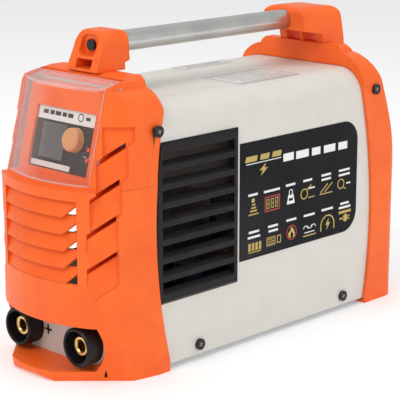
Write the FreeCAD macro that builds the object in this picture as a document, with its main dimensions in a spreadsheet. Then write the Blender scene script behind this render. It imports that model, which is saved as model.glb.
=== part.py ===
"""Stick welding inverter, modelled in millimetres.

Origin: centre of the footprint, on the floor. The front panel faces -Y, +X is the right-hand
side seen from the front, +Z is up.
"""
import FreeCAD, Part
import math
import os
import re
import Sketcher

Vector = FreeCAD.Vector
Rotation = FreeCAD.Rotation
Placement = FreeCAD.Placement

doc = FreeCAD.newDocument("StickInverter")

# ------------------------------------------------------------------ driving dimensions
SIZES = {
    # sheet-steel cover
    "cover_half": 69.4,          # half width of the cover
    "cover_low": 4.5,            # lower edge of the cover above the floor
    "cover_high": 212.0,         # top of the cover
    "cover_round": 22.5,         # outer radius of the two top bends
    "cover_skin": 1.2,           # sheet thickness
    "cover_front": 112.0,        # front edge, ahead of the centre
    "cover_rear": 148.0,         # rear edge, behind the centre
    # moulded end bezels
    "mould_wall": 2.4,           # wall of the plastic mouldings
    "slip_gap": 0.3,             # clearance of the cover inside the bezels
    "nose_reach": 178.0,         # louvred face, ahead of the centre
    "nose_bow": 110.0,           # plan radius of the louvred face
    "nose_corner": 32.0,         # plan radius of its corners
    "brow_half": 49.0,           # half width of the louvred face
    "flank_front": 65.5,         # half width where the corners meet the flanks
    "sill_high": 151.0,          # top of the upright part of the nose
    "lean_start": 146.0,         # height where the hood starts to lean
    "lean_run": 21.7,            # how far the hood leans back
    "hood_back": 4.0,            # the hood stands this far behind the nose
    "crown_drop": 6.5,           # fall of the front crown towards the lid
    "crown_high": 231.5,         # top of the front crown
    "crown_half": 49.0,          # half width of the front crown
    "louvre_low": 76.7,          # lower edge of the lowest front louvre
    "louvre_pitch": 13.3,        # step between the front louvres
    "louvre_half": 42.0,         # half width of the front louvre window
    "hood_low": 64.7,            # lower edge of the lowest corner louvre
    "hood_pitch": 27.0,          # step between the corner louvres
    "shoulder_high": 201.0,      # where the bezel shoulder starts
    "shoulder_step": 223.5,      # where the shoulder meets the crown
    "lap_front": 102.0,          # rear edge of the front bezel at its foot
    "lap_bow": 425.0,            # radius of the curved lap edges
    "chin_reach": 185.7,         # furthest point of the front foot
    "chin_high": 11.0,           # height of the front foot's rim
    "tail_reach": 186.1,         # furthest point of the rear bezel
    "tail_top": 150.0,           # rear bezel's back face at shoulder height
    "tail_lap": 140.0,           # front edge of the rear bezel at its foot
    # sockets
    "socket_pitch": 71.2,        # distance between the two socket centres
    "socket_high": 26.5,         # height of the socket centres
    "socket_face": 167.6,        # front ring of the sockets
    "socket_ring": 15.6,         # outer radius of the socket collar
    "scoop_round": 18.3,         # half height of the scoop round the sockets
    "flare_bar": 76.0,           # half width of the scoop where it leaves the corners
    "socket_throat": 12.6,       # inner radius of the collar
    "contact_ring": 7.4,         # outer radius of the brass contact
    "contact_bore": 4.65,        # radius of the plug bore
    "contact_depth": 26.0,       # depth of the plug bore
    "plate_face": 152.7,         # front of the light plate between the sockets
    "plate_skin": 3.0,           # its thickness
    # front control window and lid
    "lid_half": 46.8,            # half width of the clear lid
    "lid_wall": 1.8,             # lid thickness
    "lid_gap": 0.5,              # clearance round the lid
    "hinge_set": 131.0,          # hinge axis, ahead of the centre
    "hinge_high": "=crown_high - 7.9",         # hinge axis above the floor
    "hinge_pin": 1.25,           # hinge pin radius
    "window_half": 34.5,         # half width of the control window
    "window_low": 157.0,         # lower edge of the control window
    "window_high": 204.0,        # upper edge of the control window
    "knob_round": 9.8,           # knob radius
    "knob_tall": 7.5,            # knob height
    "knob_side": 14.0,           # knob centre to the right of the middle
    # handle
    "tube_round": 8.4,           # outer radius of the handle tube
    "tube_wall": 1.6,            # wall of the handle tube
    "tube_high": "=crown_high + 19.3",          # axis of the handle tube
    "tube_front": 112.0,         # front end of the tube, inside its bracket
    "tube_rear": 140.0,          # rear end of the tube, inside its bracket
    "post_half": 17.6,           # half width of the front bracket
    "post_rear": 91.0,           # rear face of the front bracket
    "leg_half": 25.0,            # half width of the rear bracket
    # side grille and label
    "grille_front": 116.0,       # front edge of the side grille, under the bezel
    "grille_rear": 23.6,         # rear edge of the side grille
    "grille_low": 55.2,          # lower edge
    "grille_high": 183.2,        # upper edge
    "grille_proud": 3.0,         # how far it stands out of the cover
    "label_front": 21.2,         # front edge of the side label
    "label_rear": 127.1,         # rear edge of the side label
    "label_low": 71.2,           # lower edge
    "label_high": 168.9,         # upper edge
    "label_skin": 0.4,           # label thickness
    # fan, chassis and electronics
    "fan_square": 92.0,          # side of the fan frame
    "fan_deep": 25.0,            # depth of the fan frame
    "fan_high": 104.0,           # fan axis above the floor
    "rear_wall": 152.0,          # front of the rear sheet panel
    "panel_skin": 1.5,           # sheet thickness of the inner panels
    "tray_low": 6.5,             # lower face of the base tray
    "tray_front": 118.0,         # front edge of the base tray, ahead of the centre
    "mount_half": 53.0,          # half width of the plate that carries the sockets
    "board_high": 24.0,          # lower face of the main board
    "board_skin": 1.6,           # circuit board thickness
}

sheet = doc.addObject("Spreadsheet::Sheet", "Sizes")
for row_number, (alias, size) in enumerate(SIZES.items(), start=1):
    sheet.set("A%d" % row_number, str(size))
    sheet.setAlias("A%d" % row_number, alias)
doc.recompute()

ALIAS_WORD = re.compile(r"\b(" + "|".join(sorted(SIZES, key=len, reverse=True)) + r")\b")
NODES = {}


# ------------------------------------------------------------------ small helpers
def linked(rule):
    """The rule with every size name pointing at the sheet."""
    return ALIAS_WORD.sub(r"Sizes.\1", str(rule))


def value(rule):
    """The present value of a rule."""
    result = sheet.evalExpression(str(rule))
    return float(getattr(result, "Value", result))


def bind(item, name, rule):
    """Bind one property of an object to a rule over the sheet."""
    item.setExpression(name, linked(rule))
    return item


def place(item, x="0", y="0", z="0", axis=None, angle=0.0):
    """Turn an object about an axis and bind its position."""
    turn = Rotation(axis, angle) if axis else Rotation()
    item.Placement = Placement(Vector(value(x), value(y), value(z)), turn)
    for letter, rule in zip("xyz", (x, y, z)):
        bind(item, "Placement.Base." + letter, rule)
    return item


def box(name, low, high):
    """A box between two corners, each a triple of rules."""
    item = doc.addObject("Part::Box", name)
    for side, a, b in zip(("Length", "Width", "Height"), low, high):
        bind(item, side, "(%s) - (%s)" % (b, a))
    return place(item, *low)


TURNS = {"x": (Vector(0, 1, 0), 90.0), "y": (Vector(1, 0, 0), -90.0), "z": (None, 0.0)}


def rod(name, direction, start, radius, length):
    """A round bar that starts at a point and runs along +x, +y or +z."""
    item = doc.addObject("Part::Cylinder", name)
    bind(item, "Radius", radius)
    bind(item, "Height", length)
    axis, angle = TURNS[direction]
    return place(item, *start, axis=axis, angle=angle)


def cone(name, direction, start, first, second, length):
    """A cone frustum that starts at a point and runs along +x, +y or +z."""
    item = doc.addObject("Part::Cone", name)
    bind(item, "Radius1", first)
    bind(item, "Radius2", second)
    bind(item, "Height", length)
    axis, angle = TURNS[direction]
    return place(item, *start, axis=axis, angle=angle)


def fuse(name, pieces, refine=True):
    item = doc.addObject("Part::MultiFuse", name)
    item.Shapes = list(pieces)
    item.Refine = refine
    return item


def common(name, pieces):
    item = doc.addObject("Part::MultiCommon", name)
    item.Shapes = list(pieces)
    return item


def cut(name, base, tools):
    """Take one or more tools out of a base."""
    tools = list(tools)
    tool = tools[0] if len(tools) == 1 else fuse(name + "_tools", tools, refine=False)
    item = doc.addObject("Part::Cut", name)
    item.Base = base
    item.Tool = tool
    return item


def group(name, pieces):
    """Several separate solids in one object."""
    item = doc.addObject("Part::Compound", name)
    item.Links = list(pieces)
    return item


def mirrored(name, source):
    """The same piece on the other side of the machine."""
    item = doc.addObject("Part::Mirroring", name)
    item.Source = source
    item.Base = Vector(0, 0, 0)
    item.Normal = Vector(1, 0, 0)
    return item


def fillet(name, base, radius, wanted):
    """Round the edges of a base that a test picks."""
    doc.recompute()
    item = doc.addObject("Part::Fillet", name)
    item.Base = base
    picked = [n for n, edge in enumerate(base.Shape.Edges, start=1) if wanted(edge)]
    size = value(radius)
    item.Edges = [(n, size, size) for n in picked]
    return item


def node(label, item):
    """Register a finished sub-part under its own name."""
    item.Label = label
    NODES[label] = item
    return item


def arc_between(start, end, radius):
    """Arc of a circle from start to end; a positive radius turns left, a negative one right."""
    chord = end - start
    half = chord.Length / 2.0
    offset = math.sqrt(max(radius * radius - half * half, 0.0))
    left = Vector(-chord.y, chord.x, 0).normalize()
    centre = (start + end) * 0.5 + left * math.copysign(offset, radius)
    first = math.atan2(start.y - centre.y, start.x - centre.x)
    last = math.atan2(end.y - centre.y, end.x - centre.x)
    circle = Part.Circle(centre, Vector(0, 0, 1), abs(radius))
    if radius > 0:
        return Part.ArcOfCircle(circle, first, last), 1, 2
    return Part.ArcOfCircle(circle, last, first), 2, 1


def draw(sketch, corners):
    """Draw a closed outline. A corner is (x rule, y rule) or (x rule, y rule, radius rule);
    the radius makes the line that arrives at that corner an arc."""
    points = [Vector(value(c[0]), value(c[1]), 0) for c in corners]
    ends = []
    for index, corner in enumerate(corners):
        start = points[index - 1]
        end = points[index]
        if len(corner) == 3:
            curve, tail, tip = arc_between(start, end, value(corner[2]))
        else:
            curve, tail, tip = Part.LineSegment(start, end), 1, 2
        geometry = sketch.addGeometry(curve)
        ends.append((geometry, tail, tip))
    for index, corner in enumerate(corners):
        geometry, _, tip = ends[index]
        following, tail, _ = ends[(index + 1) % len(corners)]
        sketch.addConstraint(Sketcher.Constraint("Coincident", geometry, tip, following, tail))
        hold(sketch, "DistanceX", geometry, tip, corner[0], -2)
        hold(sketch, "DistanceY", geometry, tip, corner[1], -1)
        if len(corner) == 3:
            size = abs(value(corner[2]))
            number = sketch.addConstraint(Sketcher.Constraint("Radius", geometry, size))
            sketch.setExpression("Constraints[%d]" % number, "abs(%s)" % linked(corner[2]))


def hold(sketch, kind, geometry, end, rule, axis):
    """Hold one coordinate of an outline's corner, on the axis itself where the rule is zero."""
    size = value(rule)
    if abs(size) < 1e-9:
        sketch.addConstraint(Sketcher.Constraint("PointOnObject", geometry, end, axis))
        return
    number = sketch.addConstraint(Sketcher.Constraint(kind, -1, 1, geometry, end, size))
    sketch.setExpression("Constraints[%d]" % number, linked(rule))


PLANES = {
    "XY": Rotation(),
    "XZ": Rotation(Vector(1, 0, 0), 90),
    "YZ": Rotation(Vector(1, 1, 1), 120),
}


def profile(name, plane, corners, x="0", y="0", z="0", turn=None):
    """A free sketch on a plane: XY seen from above, XZ from the front, YZ from the right."""
    sketch = doc.addObject("Sketcher::SketchObject", name)
    loops = corners if isinstance(corners[0][0], tuple) else [corners]
    for loop in loops:
        draw(sketch, loop)
    rotation = turn if turn else PLANES[plane]
    sketch.Placement = Placement(Vector(value(x), value(y), value(z)), rotation)
    for letter, rule in zip("xyz", (x, y, z)):
        bind(sketch, "Placement.Base." + letter, rule)
    return sketch


def extrude(name, sketch, direction, length, both=False):
    """Push a sketch along a direction; both ways from its plane if asked."""
    item = doc.addObject("Part::Extrusion", name)
    item.Base = sketch
    item.DirMode = "Custom"
    item.Dir = direction
    item.Solid = True
    item.Symmetric = both
    bind(item, "LengthFwd", length)
    return item


X_WAY = Vector(1, 0, 0)
Y_WAY = Vector(0, 1, 0)
Z_WAY = Vector(0, 0, 1)


# ------------------------------------------------------------------ PartDesign helpers
class Turned:
    """A PartDesign body whose sketches sit on its own origin planes."""

    def __init__(self, label):
        self.body = doc.addObject("PartDesign::Body", label + "_body")
        self.label = label

    def sketch(self, role, corners, offset="0"):
        plane = next(f for f in self.body.Origin.OriginFeatures if f.Role == role)
        name = "%s_sketch_%d" % (self.label, len(self.body.Group))
        sketch = self.body.newObject("Sketcher::SketchObject", name)
        sketch.AttachmentSupport = (plane, [""])
        sketch.MapMode = "FlatFace"
        sketch.AttachmentOffset.Base = Vector(0, 0, value(offset))
        bind(sketch, "AttachmentOffset.Base.z", offset)
        loops = corners if isinstance(corners[0][0], tuple) else [corners]
        for loop in loops:
            draw(sketch, loop)
        return sketch

    def feature(self, kind, sketch, **rules):
        item = self.body.newObject("PartDesign::" + kind, "%s_%s" % (self.label, kind.lower()))
        item.Profile = sketch
        for name, rule in rules.items():
            if isinstance(rule, str):
                bind(item, name, rule)
            else:
                setattr(item, name, rule)
        self.body.Tip = item
        return item

    def axis(self, role):
        return next(f for f in self.body.Origin.OriginFeatures if f.Role == role)

    def revolve(self, sketch, role):
        return self.feature("Revolution", sketch, ReferenceAxis=(self.axis(role), [""]), Angle="360")

    def linear(self, feature, role, length, count):
        item = self.body.newObject("PartDesign::LinearPattern", self.label + "_row")
        item.Originals = [feature]
        item.Direction = (self.axis(role), [""])
        bind(item, "Length", length)
        item.Occurrences = count
        self.body.Tip = item
        return item


# ------------------------------------------------------------------ shared outlines
BEZEL_HALF = "(cover_half + slip_gap + mould_wall)"


def nose_outline(inset, rear="-60", back="0"):
    """Plan of the nose, drawn inwards by an inset and moved back; the rear end is a plain line."""
    side_x = "flank_front - (%s)" % inset
    side_y = "-(nose_reach - 29) + 0.5 * (%s) + (%s)" % (inset, back)
    brow_x = "brow_half - 0.6 * (%s)" % inset
    brow_y = "-(nose_reach - 11.5) + (%s) + (%s)" % (inset, back)
    back_x = "%s - (%s)" % (BEZEL_HALF, inset)
    bow = "nose_bow - (%s)" % inset
    turn = "nose_corner - (%s)" % inset
    return [
        (back_x, rear),
        ("-(%s)" % back_x, rear),
        ("-(%s)" % back_x, "-(cover_front + 2)"),
        ("-(%s)" % side_x, side_y),
        ("-(%s)" % brow_x, brow_y, turn),
        (brow_x, brow_y, bow),
        (side_x, side_y, turn),
        (back_x, "-(cover_front + 2)"),
    ]


def chin_outline(inset):
    """Plan of the front foot."""
    flank_x = "%s - (%s)" % (BEZEL_HALF, inset)
    side_x = "flank_front - 3 - (%s)" % inset
    side_y = "-(chin_reach - 44)"
    front_x = "34"
    front_y = "-(chin_reach - 9) + (%s)" % inset
    return [
        (flank_x, "-100"),
        ("-(%s)" % flank_x, "-100"),
        ("-(%s)" % flank_x, "-(cover_front + 2)"),
        ("-(%s)" % side_x, side_y),
        ("-%s" % front_x, front_y, "60 - (%s)" % inset),
        (front_x, front_y, "69 - (%s)" % inset),
        (side_x, side_y, "60 - (%s)" % inset),
        (flank_x, "-(cover_front + 2)"),
    ]


def shoulder_outline(inset, crown, crown_width):
    """Front view of both bezels: straight flanks, round shoulders and a stepped crown."""
    half = "%s - (%s)" % (BEZEL_HALF, inset)
    step_x = "%s + 1.5 - (%s)" % (crown_width, inset)
    step_z = "shoulder_step - (%s)" % inset
    top_x = "%s - (%s)" % (crown_width, inset)
    bend_z = "(%s) - 3 - (%s)" % (crown, inset)
    flat_x = "%s - 4 - (%s)" % (crown_width, inset)
    top_z = "(%s) - (%s)" % (crown, inset)
    return [
        ("-(%s)" % half, "-2"),
        (half, "-2"),
        (half, "shoulder_high - (%s)" % inset),
        (step_x, step_z, "30 - (%s)" % inset),
        (top_x, bend_z),
        (flat_x, top_z),
        ("-(%s)" % flat_x, top_z),
        ("-(%s)" % top_x, bend_z),
        ("-(%s)" % step_x, step_z),
        ("-(%s)" % half, "shoulder_high - (%s)" % inset, "30 - (%s)" % inset),
    ]


def cover_outline(grow, low):
    """Front view of the space the cover fills, grown by a clearance."""
    half = "cover_half + (%s)" % grow
    top = "cover_high + (%s)" % grow
    bend = "cover_round + (%s)" % grow
    return [
        ("-(%s)" % half, low),
        (half, low),
        (half, "%s - (%s)" % (top, bend)),
        ("%s - (%s)" % (half, bend), top, bend),
        ("-(%s) + (%s)" % (half, bend), top),
        ("-(%s)" % half, "%s - (%s)" % (top, bend), bend),
    ]


def leaning(name, outline, height, low):
    """A plan outline pushed up along the lean of the hood."""
    sketch = profile(name + "_plan", "XY", outline, z=low)
    slant = "(%s) * sqrt(1 + (lean_run / (crown_high - lean_start))^2)" % height
    return extrude(name, sketch, Vector(0, value("lean_run"), value("crown_high - lean_start")), slant)


def lean_at(high):
    """How far back the hood has leaned at a height."""
    return "lean_run * ((%s) - lean_start) / (crown_high - lean_start)" % high


def crown_side(inset):
    """Side view of the crown: level at the handle, falling towards the lid."""
    level = "crown_high - (%s)" % inset
    fallen = "crown_high - crown_drop - (%s)" % inset
    return [("-30", "-10"), ("-220", "-10"), ("-220", fallen), ("-(hinge_set + 15)", fallen),
            ("-(hinge_set - 13)", level), ("-30", level)]


# ------------------------------------------------------------------ front bezel
def nose_solid(name, inset, low):
    """Solid nose: an upright lower part and a hood that leans back above the sill."""
    lower = extrude(name + "_lower", profile(name + "_lower_plan", "XY", nose_outline(inset), z=low),
                    Z_WAY, "sill_high - (%s) - (%s)" % (inset, low))
    hood = leaning(name + "_hood", nose_outline(inset, "-30", "hood_back"), "crown_high - lean_start + 2",
                   "lean_start")
    front = profile(name + "_front", "XZ", shoulder_outline(inset, "crown_high", "crown_half"), y="0")
    slab = extrude(name + "_slab", front, Vector(0, -1, 0), "220")
    side = extrude(name + "_side", profile(name + "_crown", "YZ", crown_side(inset)), X_WAY, "200", both=True)
    return common(name, [fuse(name + "_whole", [lower, hood]), slab, side])


def front_lap(name="front_lap", gap="0"):
    """Everything behind the curved rear edge of the front bezel, moved back by a gap."""
    foot = "-(lap_front - (%s))" % gap
    head = "-(lap_front + 3 - (%s))" % gap
    corners = [
        (foot, "10", "lap_bow"), (foot, "-5"), ("60", "-5"), ("60", "crown_high + 10"),
        (head, "crown_high + 10"), (head, "210"),
    ]
    return extrude(name, profile(name + "_side", "YZ", corners), X_WAY, "200", both=True)


LOUVRES = 5
BLADE_HIGH = "14.6"
BEND = "30"


def front_louvre_blades():
    """Bowed, inward-sloping blades with their ends turned up."""
    blades = []
    for number in range(LOUVRES):
        low = "louvre_low + louvre_pitch * %d" % number
        turned = "%s + 14" % low
        top = "%s + %s" % (low, BLADE_HIGH)
        end = "louvre_half + 2"
        ring = cut_band("blade_%d" % number, low)
        corners = [("-(%s)" % end, low), (BEND, low), (end, turned), (end, top),
                   ("-(%s)" % end, top)]
        mask = extrude("blade_mask_%d" % number, profile("blade_front_%d" % number, "XZ", corners),
                       Vector(0, -1, 0), "220")
        blades.append(common("louvre_blade_%d" % number, [ring, mask]))
    return blades


def cut_band(name, low):
    """Thin bowed wall that slopes inwards as it rises."""
    outer_plan = profile(name + "_outer", "XY", nose_outline("0"), z=low)
    inner_plan = profile(name + "_inner", "XY", nose_outline("2"), z=low)
    slope = Vector(0, 5.2, 14.6)
    outer = extrude(name + "_out", outer_plan, slope, "16")
    inner = extrude(name + "_in", inner_plan, slope, "16")
    return cut(name + "_band", outer, [inner])


CORNER_LOUVRES = 4


def side_louvres(side):
    """Overlapping slanted hoods on one front corner, with a slot behind the lip of each."""
    word = "right" if side > 0 else "left"
    zone = box("corner_zone_" + word, ("%d * 68 - 22" % side, "-(nose_reach + 10)", "hood_low"),
               ("%d * 68 + 22" % side, "-120", "shoulder_high - 3"))
    turn = Rotation(Z_WAY, 45 * side).multiply(PLANES["YZ"])
    along = Vector(side * 0.60, 0.80, 0.60)
    tools = []
    for number in range(CORNER_LOUVRES + 1):
        low = "hood_low + hood_pitch * %d" % number
        leant = "max(0; %s + hood_back)" % lean_at("%s + hood_pitch" % low)
        start = ("%d * (brow_half + 0.6)" % side, "-(nose_reach - 11.5) + %s" % leant)
        pocket = [("-25", low), ("-1.6", low), ("2.6", "%s + hood_pitch" % low), ("-25",
                                                                                  "%s + hood_pitch" % low)]
        slot = [("0", "%s + hood_pitch - 4.2" % low), ("26", "%s + hood_pitch - 4.2" % low),
                ("26", "%s + hood_pitch" % low), ("0", "%s + hood_pitch" % low)]
        for kind, corners, length in (("pocket", pocket, "28"), ("slot", slot, "26")):
            if kind == "slot" and number == CORNER_LOUVRES:
                continue
            name = "corner_%s_%d_%s" % (kind, number, word)
            sketch = profile(name + "_shape", "YZ", corners, x=start[0], y=start[1], turn=turn)
            tools.append(extrude(name, sketch, along, length))
    return [common("corner_louvres_" + word, [fuse("corner_cuts_" + word, tools, refine=False), zone])]


def socket_scoop(name, grow):
    """The recess of the sockets: round behind each one, and flaring out through both corners."""
    high = "scoop_round + (%s)" % grow
    narrow = "socket_ring + 1.2 + (%s)" % grow
    flare = [cone("%s_flare_%d" % (name, number), "y", (x, "-210", "socket_high"),
                  "%s + 210 - plate_face" % narrow, narrow, "210 - plate_face")
             for number, x in enumerate(("socket_pitch / 2", "-socket_pitch / 2"))]
    middle = box(name + "_span", ("-socket_pitch / 2", "-210", "-5"), ("socket_pitch / 2", "-plate_face",
                                                                       "85"))
    bar = rounded_bar(name + "_bar", "flare_bar + (%s)" % grow, high, "-210", "-plate_face")
    return common(name, [fuse(name + "_flared", [middle] + flare), bar])


def chin_trim(side):
    """Leaning cut that narrows one lower front corner towards the floor."""
    word = "right" if side > 0 else "left"
    corners = [("9", "-6"), ("-3.2", "56"), ("-60", "56"), ("-60", "-6")]
    sketch = profile("chin_trim_shape_" + word, "YZ", corners, x="%d * (flank_front - 8)" % side,
                     y="-(nose_reach - 20)", turn=Rotation(Z_WAY, 45 * side).multiply(PLANES["YZ"]))
    return extrude("chin_trim_" + word, sketch, Vector(side, 1, 0), "160", both=True)


def front_bezel():
    """The whole orange front moulding: nose, hood, foot, louvres and socket recess."""
    nose = nose_solid("nose_outer", "0", "0")
    foot_plan = extrude("foot_plan", profile("foot_outline", "XY", chin_outline("0")), Z_WAY,
                        "chin_high + 17")
    foot_side = [
        ("-80", "0"), ("-80", "chin_high + 16"), ("-(nose_reach - 8)", "chin_high + 16"),
        ("-(chin_reach - 2)", "chin_high + 1"), ("-chin_reach", "chin_high - 3"),
        ("-(chin_reach - 1)", "4"), ("-(chin_reach - 6)", "0", "12"),
    ]
    foot_bar = extrude("foot_bar", profile("foot_side", "YZ", foot_side), X_WAY, "200", both=True)
    outer = fuse("bezel_outer", [nose, common("front_foot", [foot_plan, foot_bar])])
    inner = nose_solid("nose_inner", "mould_wall", "3")
    lap_space = extrude("lap_space", profile("lap_space_front", "XZ", cover_outline("slip_gap", "3"), y="0"),
                        Vector(0, -1, 0), "lap_front + 14")
    hood_limit = box("hood_limit", ("-100", "-200", "-5"), ("100", "-(lap_front + 3 + mould_wall)", "260"))
    hollow = common("hood_hollow", [inner, hood_limit])
    shelf = leaning_from("window_wall", rectangle("lid_half + lid_gap + mould_wall", "-220", "-153.4"),
                         "sill_high - 0.5", "crown_high + 20")
    corner_blocks = [box("corner_block_%d" % n, (a, "-176", "hood_low - 3"), (b, "-128", "shoulder_high - 1"))
                     for n, (a, b) in enumerate((("44.5", "90"), ("-90", "-44.5")))]
    roof = box("lid_floor", ("-(lid_half + lid_gap + mould_wall)", "-220", "hinge_high - 3.6 - mould_wall"),
               ("lid_half + lid_gap + mould_wall", "-(hinge_set - 6.8 - mould_wall)", "crown_high + 5"))
    hollow = cut("front_hollow", hollow, [shelf, roof] + corner_blocks)
    recess = socket_scoop("socket_recess", "0")
    sleeve = socket_scoop("socket_sleeve", "mould_wall")
    hollow = cut("front_space", hollow, [sleeve] + chin_backs())
    cheeks = [box("louvre_cheek_%d" % n, (a, "-174", "70"), (b, "-160", "146"))
              for n, (a, b) in enumerate((("louvre_half", "louvre_half + 2"), ("-(louvre_half + 2)",
                                                                               "-louvre_half")))]
    hollow = cut("front_clear", hollow, cheeks)
    mouth = [("-louvre_half", "louvre_low + 1.8"), ("louvre_half", "louvre_low + 1.8"),
             ("louvre_half", "143"), ("-louvre_half", "143")]
    louvre_mouth = extrude("louvre_mouth", profile("louvre_mouth_front", "XZ", mouth, y="-158"),
                           Vector(0, -1, 0), "60")
    lid_pocket = leaning_from("lid_pocket", rectangle("lid_half + lid_gap", "-220", "-156"),
                              "sill_high + mould_wall", "crown_high + 20")
    window = leaning_from("window_hole", rectangle("window_half", "-220", "-130"), "window_low",
                          "window_high")
    lid_top = box("lid_top_space", ("-(lid_half + lid_gap)", "-200", "hinge_high - 3.6"),
                  ("lid_half + lid_gap", "-(hinge_set - 6.8)", "crown_high + 5"))
    tools = [hollow, lap_space, front_lap(), recess, louvre_mouth, lid_pocket, window, lid_top]
    tools += side_louvres(1) + side_louvres(-1) + side_screw_holes("front", "-114", "193")
    tools += [chin_trim(1), chin_trim(-1)]
    tools.append(rod("lid_pin_bore", "x", ("-(lid_half + 5)", "-hinge_set", "hinge_high"), "hinge_pin + 0.05",
                     "2 * (lid_half + 5)"))
    shell = cut("front_shell", outer, tools)
    blades = front_louvre_blades()
    trimmed = common("trimmed_blades", [fuse("all_blades", blades, refine=False),
                                        box("blade_zone", ("-(louvre_half + 1)", "-180", "72"),
                                            ("louvre_half + 1", "-158", "146"))])
    node("front_bezel", fuse("front_bezel_whole", [shell, trimmed]))


def chin_backs():
    """Solid backing behind the two trimmed lower corners and under the socket recess."""
    backs = [box("chin_back_%d" % n, (a, "-200", "-1"), (b, "-(cover_front + 14)", "60")) for n, (a, b) in
             enumerate((("mount_half + 1", "90"), ("-90", "-(mount_half + 1)")))]
    floor = box("chin_floor", ("-(mount_half + 2)", "-200", "-1"),
                ("mount_half + 2", "-(plate_face + 0.5)", "socket_high - scoop_round + 1"))
    corners = [box("chin_corner_%d" % n, (a, "-200", "-1"), (b, "-(plate_face + 0.5)", "60")) for n, (a, b) in
               enumerate((("socket_pitch / 2", "90"), ("-90", "-socket_pitch / 2")))]
    return backs + [floor] + corners


def rectangle(half, low, high):
    """Plan of a centred rectangle."""
    return [("-(%s)" % half, low), (half, low), (half, high), ("-(%s)" % half, high)]


def rounded_bar(name, half, round_rule, front, rear):
    """A bar with round ends along Y, centred on the sockets."""
    straight = "(%s) - (%s)" % (half, round_rule)
    low = "socket_high - (%s)" % round_rule
    high = "socket_high + (%s)" % round_rule
    length = "(%s) - (%s)" % (rear, front)
    middle = box(name + "_middle", ("-(%s)" % straight, front, low), (straight, rear, high))
    ends = [rod("%s_end_%d" % (name, number), "y", (x, front, "socket_high"), round_rule, length)
            for number, x in enumerate((straight, "-(%s)" % straight))]
    return fuse(name, [middle] + ends)


def side_screw_holes(name, y, z):
    """Clearance holes through both flanks for the bezel screws."""
    return [rod("%s_flank_hole_%d" % (name, side), "x", ("%d * 80 - 20" % side, y, z), "2.2", "40")
            for side in (-1, 1)]


# ------------------------------------------------------------------ rear bezel
def tail_solid(name, inset, low):
    """Solid tail: rounded plan, a back that leans forward as it rises, and a crown."""
    half = "%s - (%s)" % (BEZEL_HALF, inset)
    back = "tail_reach - 1.5 - (%s)" % inset
    turn = "16 - (%s)" % inset
    plan = [
        ("-(%s)" % half, "60"), (half, "60"), (half, "tail_reach - 16"),
        ("%s - 14.5 + (%s)" % (half, inset), back, turn),
        ("-(%s) + 14.5 - (%s)" % (half, inset), back, "900"),
        ("-(%s)" % half, "tail_reach - 16", turn),
    ]
    side = [
        ("60", low), ("tail_reach - 9", low), ("%s" % back, "9", "14"), ("tail_reach - (%s)" % inset, "30"),
        ("tail_top - (%s)" % inset, "213", "415"), ("tail_top - 9 - (%s)" % inset,
                                                    "crown_high - (%s)" % inset),
        ("60", "crown_high - (%s)" % inset),
    ]
    block = extrude(name + "_block", profile(name + "_plan", "XY", plan), Z_WAY, "crown_high + 5")
    bar = extrude(name + "_bar", profile(name + "_side", "YZ", side), X_WAY, "200", both=True)
    front = profile(name + "_front", "XZ", shoulder_outline(inset, "crown_high - 2", "crown_half - 3"),
                    y="220")
    slab = extrude(name + "_slab", front, Vector(0, -1, 0), "200")
    return common(name, [block, bar, slab])


def rear_bezel():
    """The orange rear moulding with its vent window."""
    outer = tail_solid("tail_outer", "0", "0")
    inner = common("tail_hollow", [
        tail_solid("tail_inner", "mould_wall", "3"),
        box("tail_limit", ("-100", "tail_lap + 3 - mould_wall", "-5"), ("100", "220", "260")),
    ])
    lap_space = extrude("tail_lap_space", profile("tail_lap_front", "XZ", cover_outline("slip_gap", "3"),
                                                  y="cover_rear + 1"), Vector(0, -1, 0), "60")
    ahead = [
        ("tail_lap", "-5"), ("tail_lap", "8"), ("tail_lap - 9", "192", "lap_bow"), ("tail_lap - 11", "214"),
        ("tail_lap - 8", "crown_high + 8"), ("40", "crown_high + 8"), ("40", "-5"),
    ]
    lap = extrude("tail_lap_cut", profile("tail_lap_side", "YZ", ahead), X_WAY, "200", both=True)
    window = fillet("tail_window", box("tail_window_box", ("-52", "tail_lap + 12", "24"), ("52", "230",
                                                                                           "188")),
                    "9", lambda edge: is_along(edge, Y_WAY))
    tools = [inner, lap_space, lap, window] + side_screw_holes("rear", "138.8 + 8", "192.8")
    node("rear_bezel", cut("rear_bezel_whole", outer, tools))


def is_along(edge, way):
    """True for a straight edge that runs along a direction."""
    if edge.Curve.TypeId != "Part::GeomLine":
        return False
    return edge.tangentAt(edge.FirstParameter).cross(way).Length < 1e-6


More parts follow.
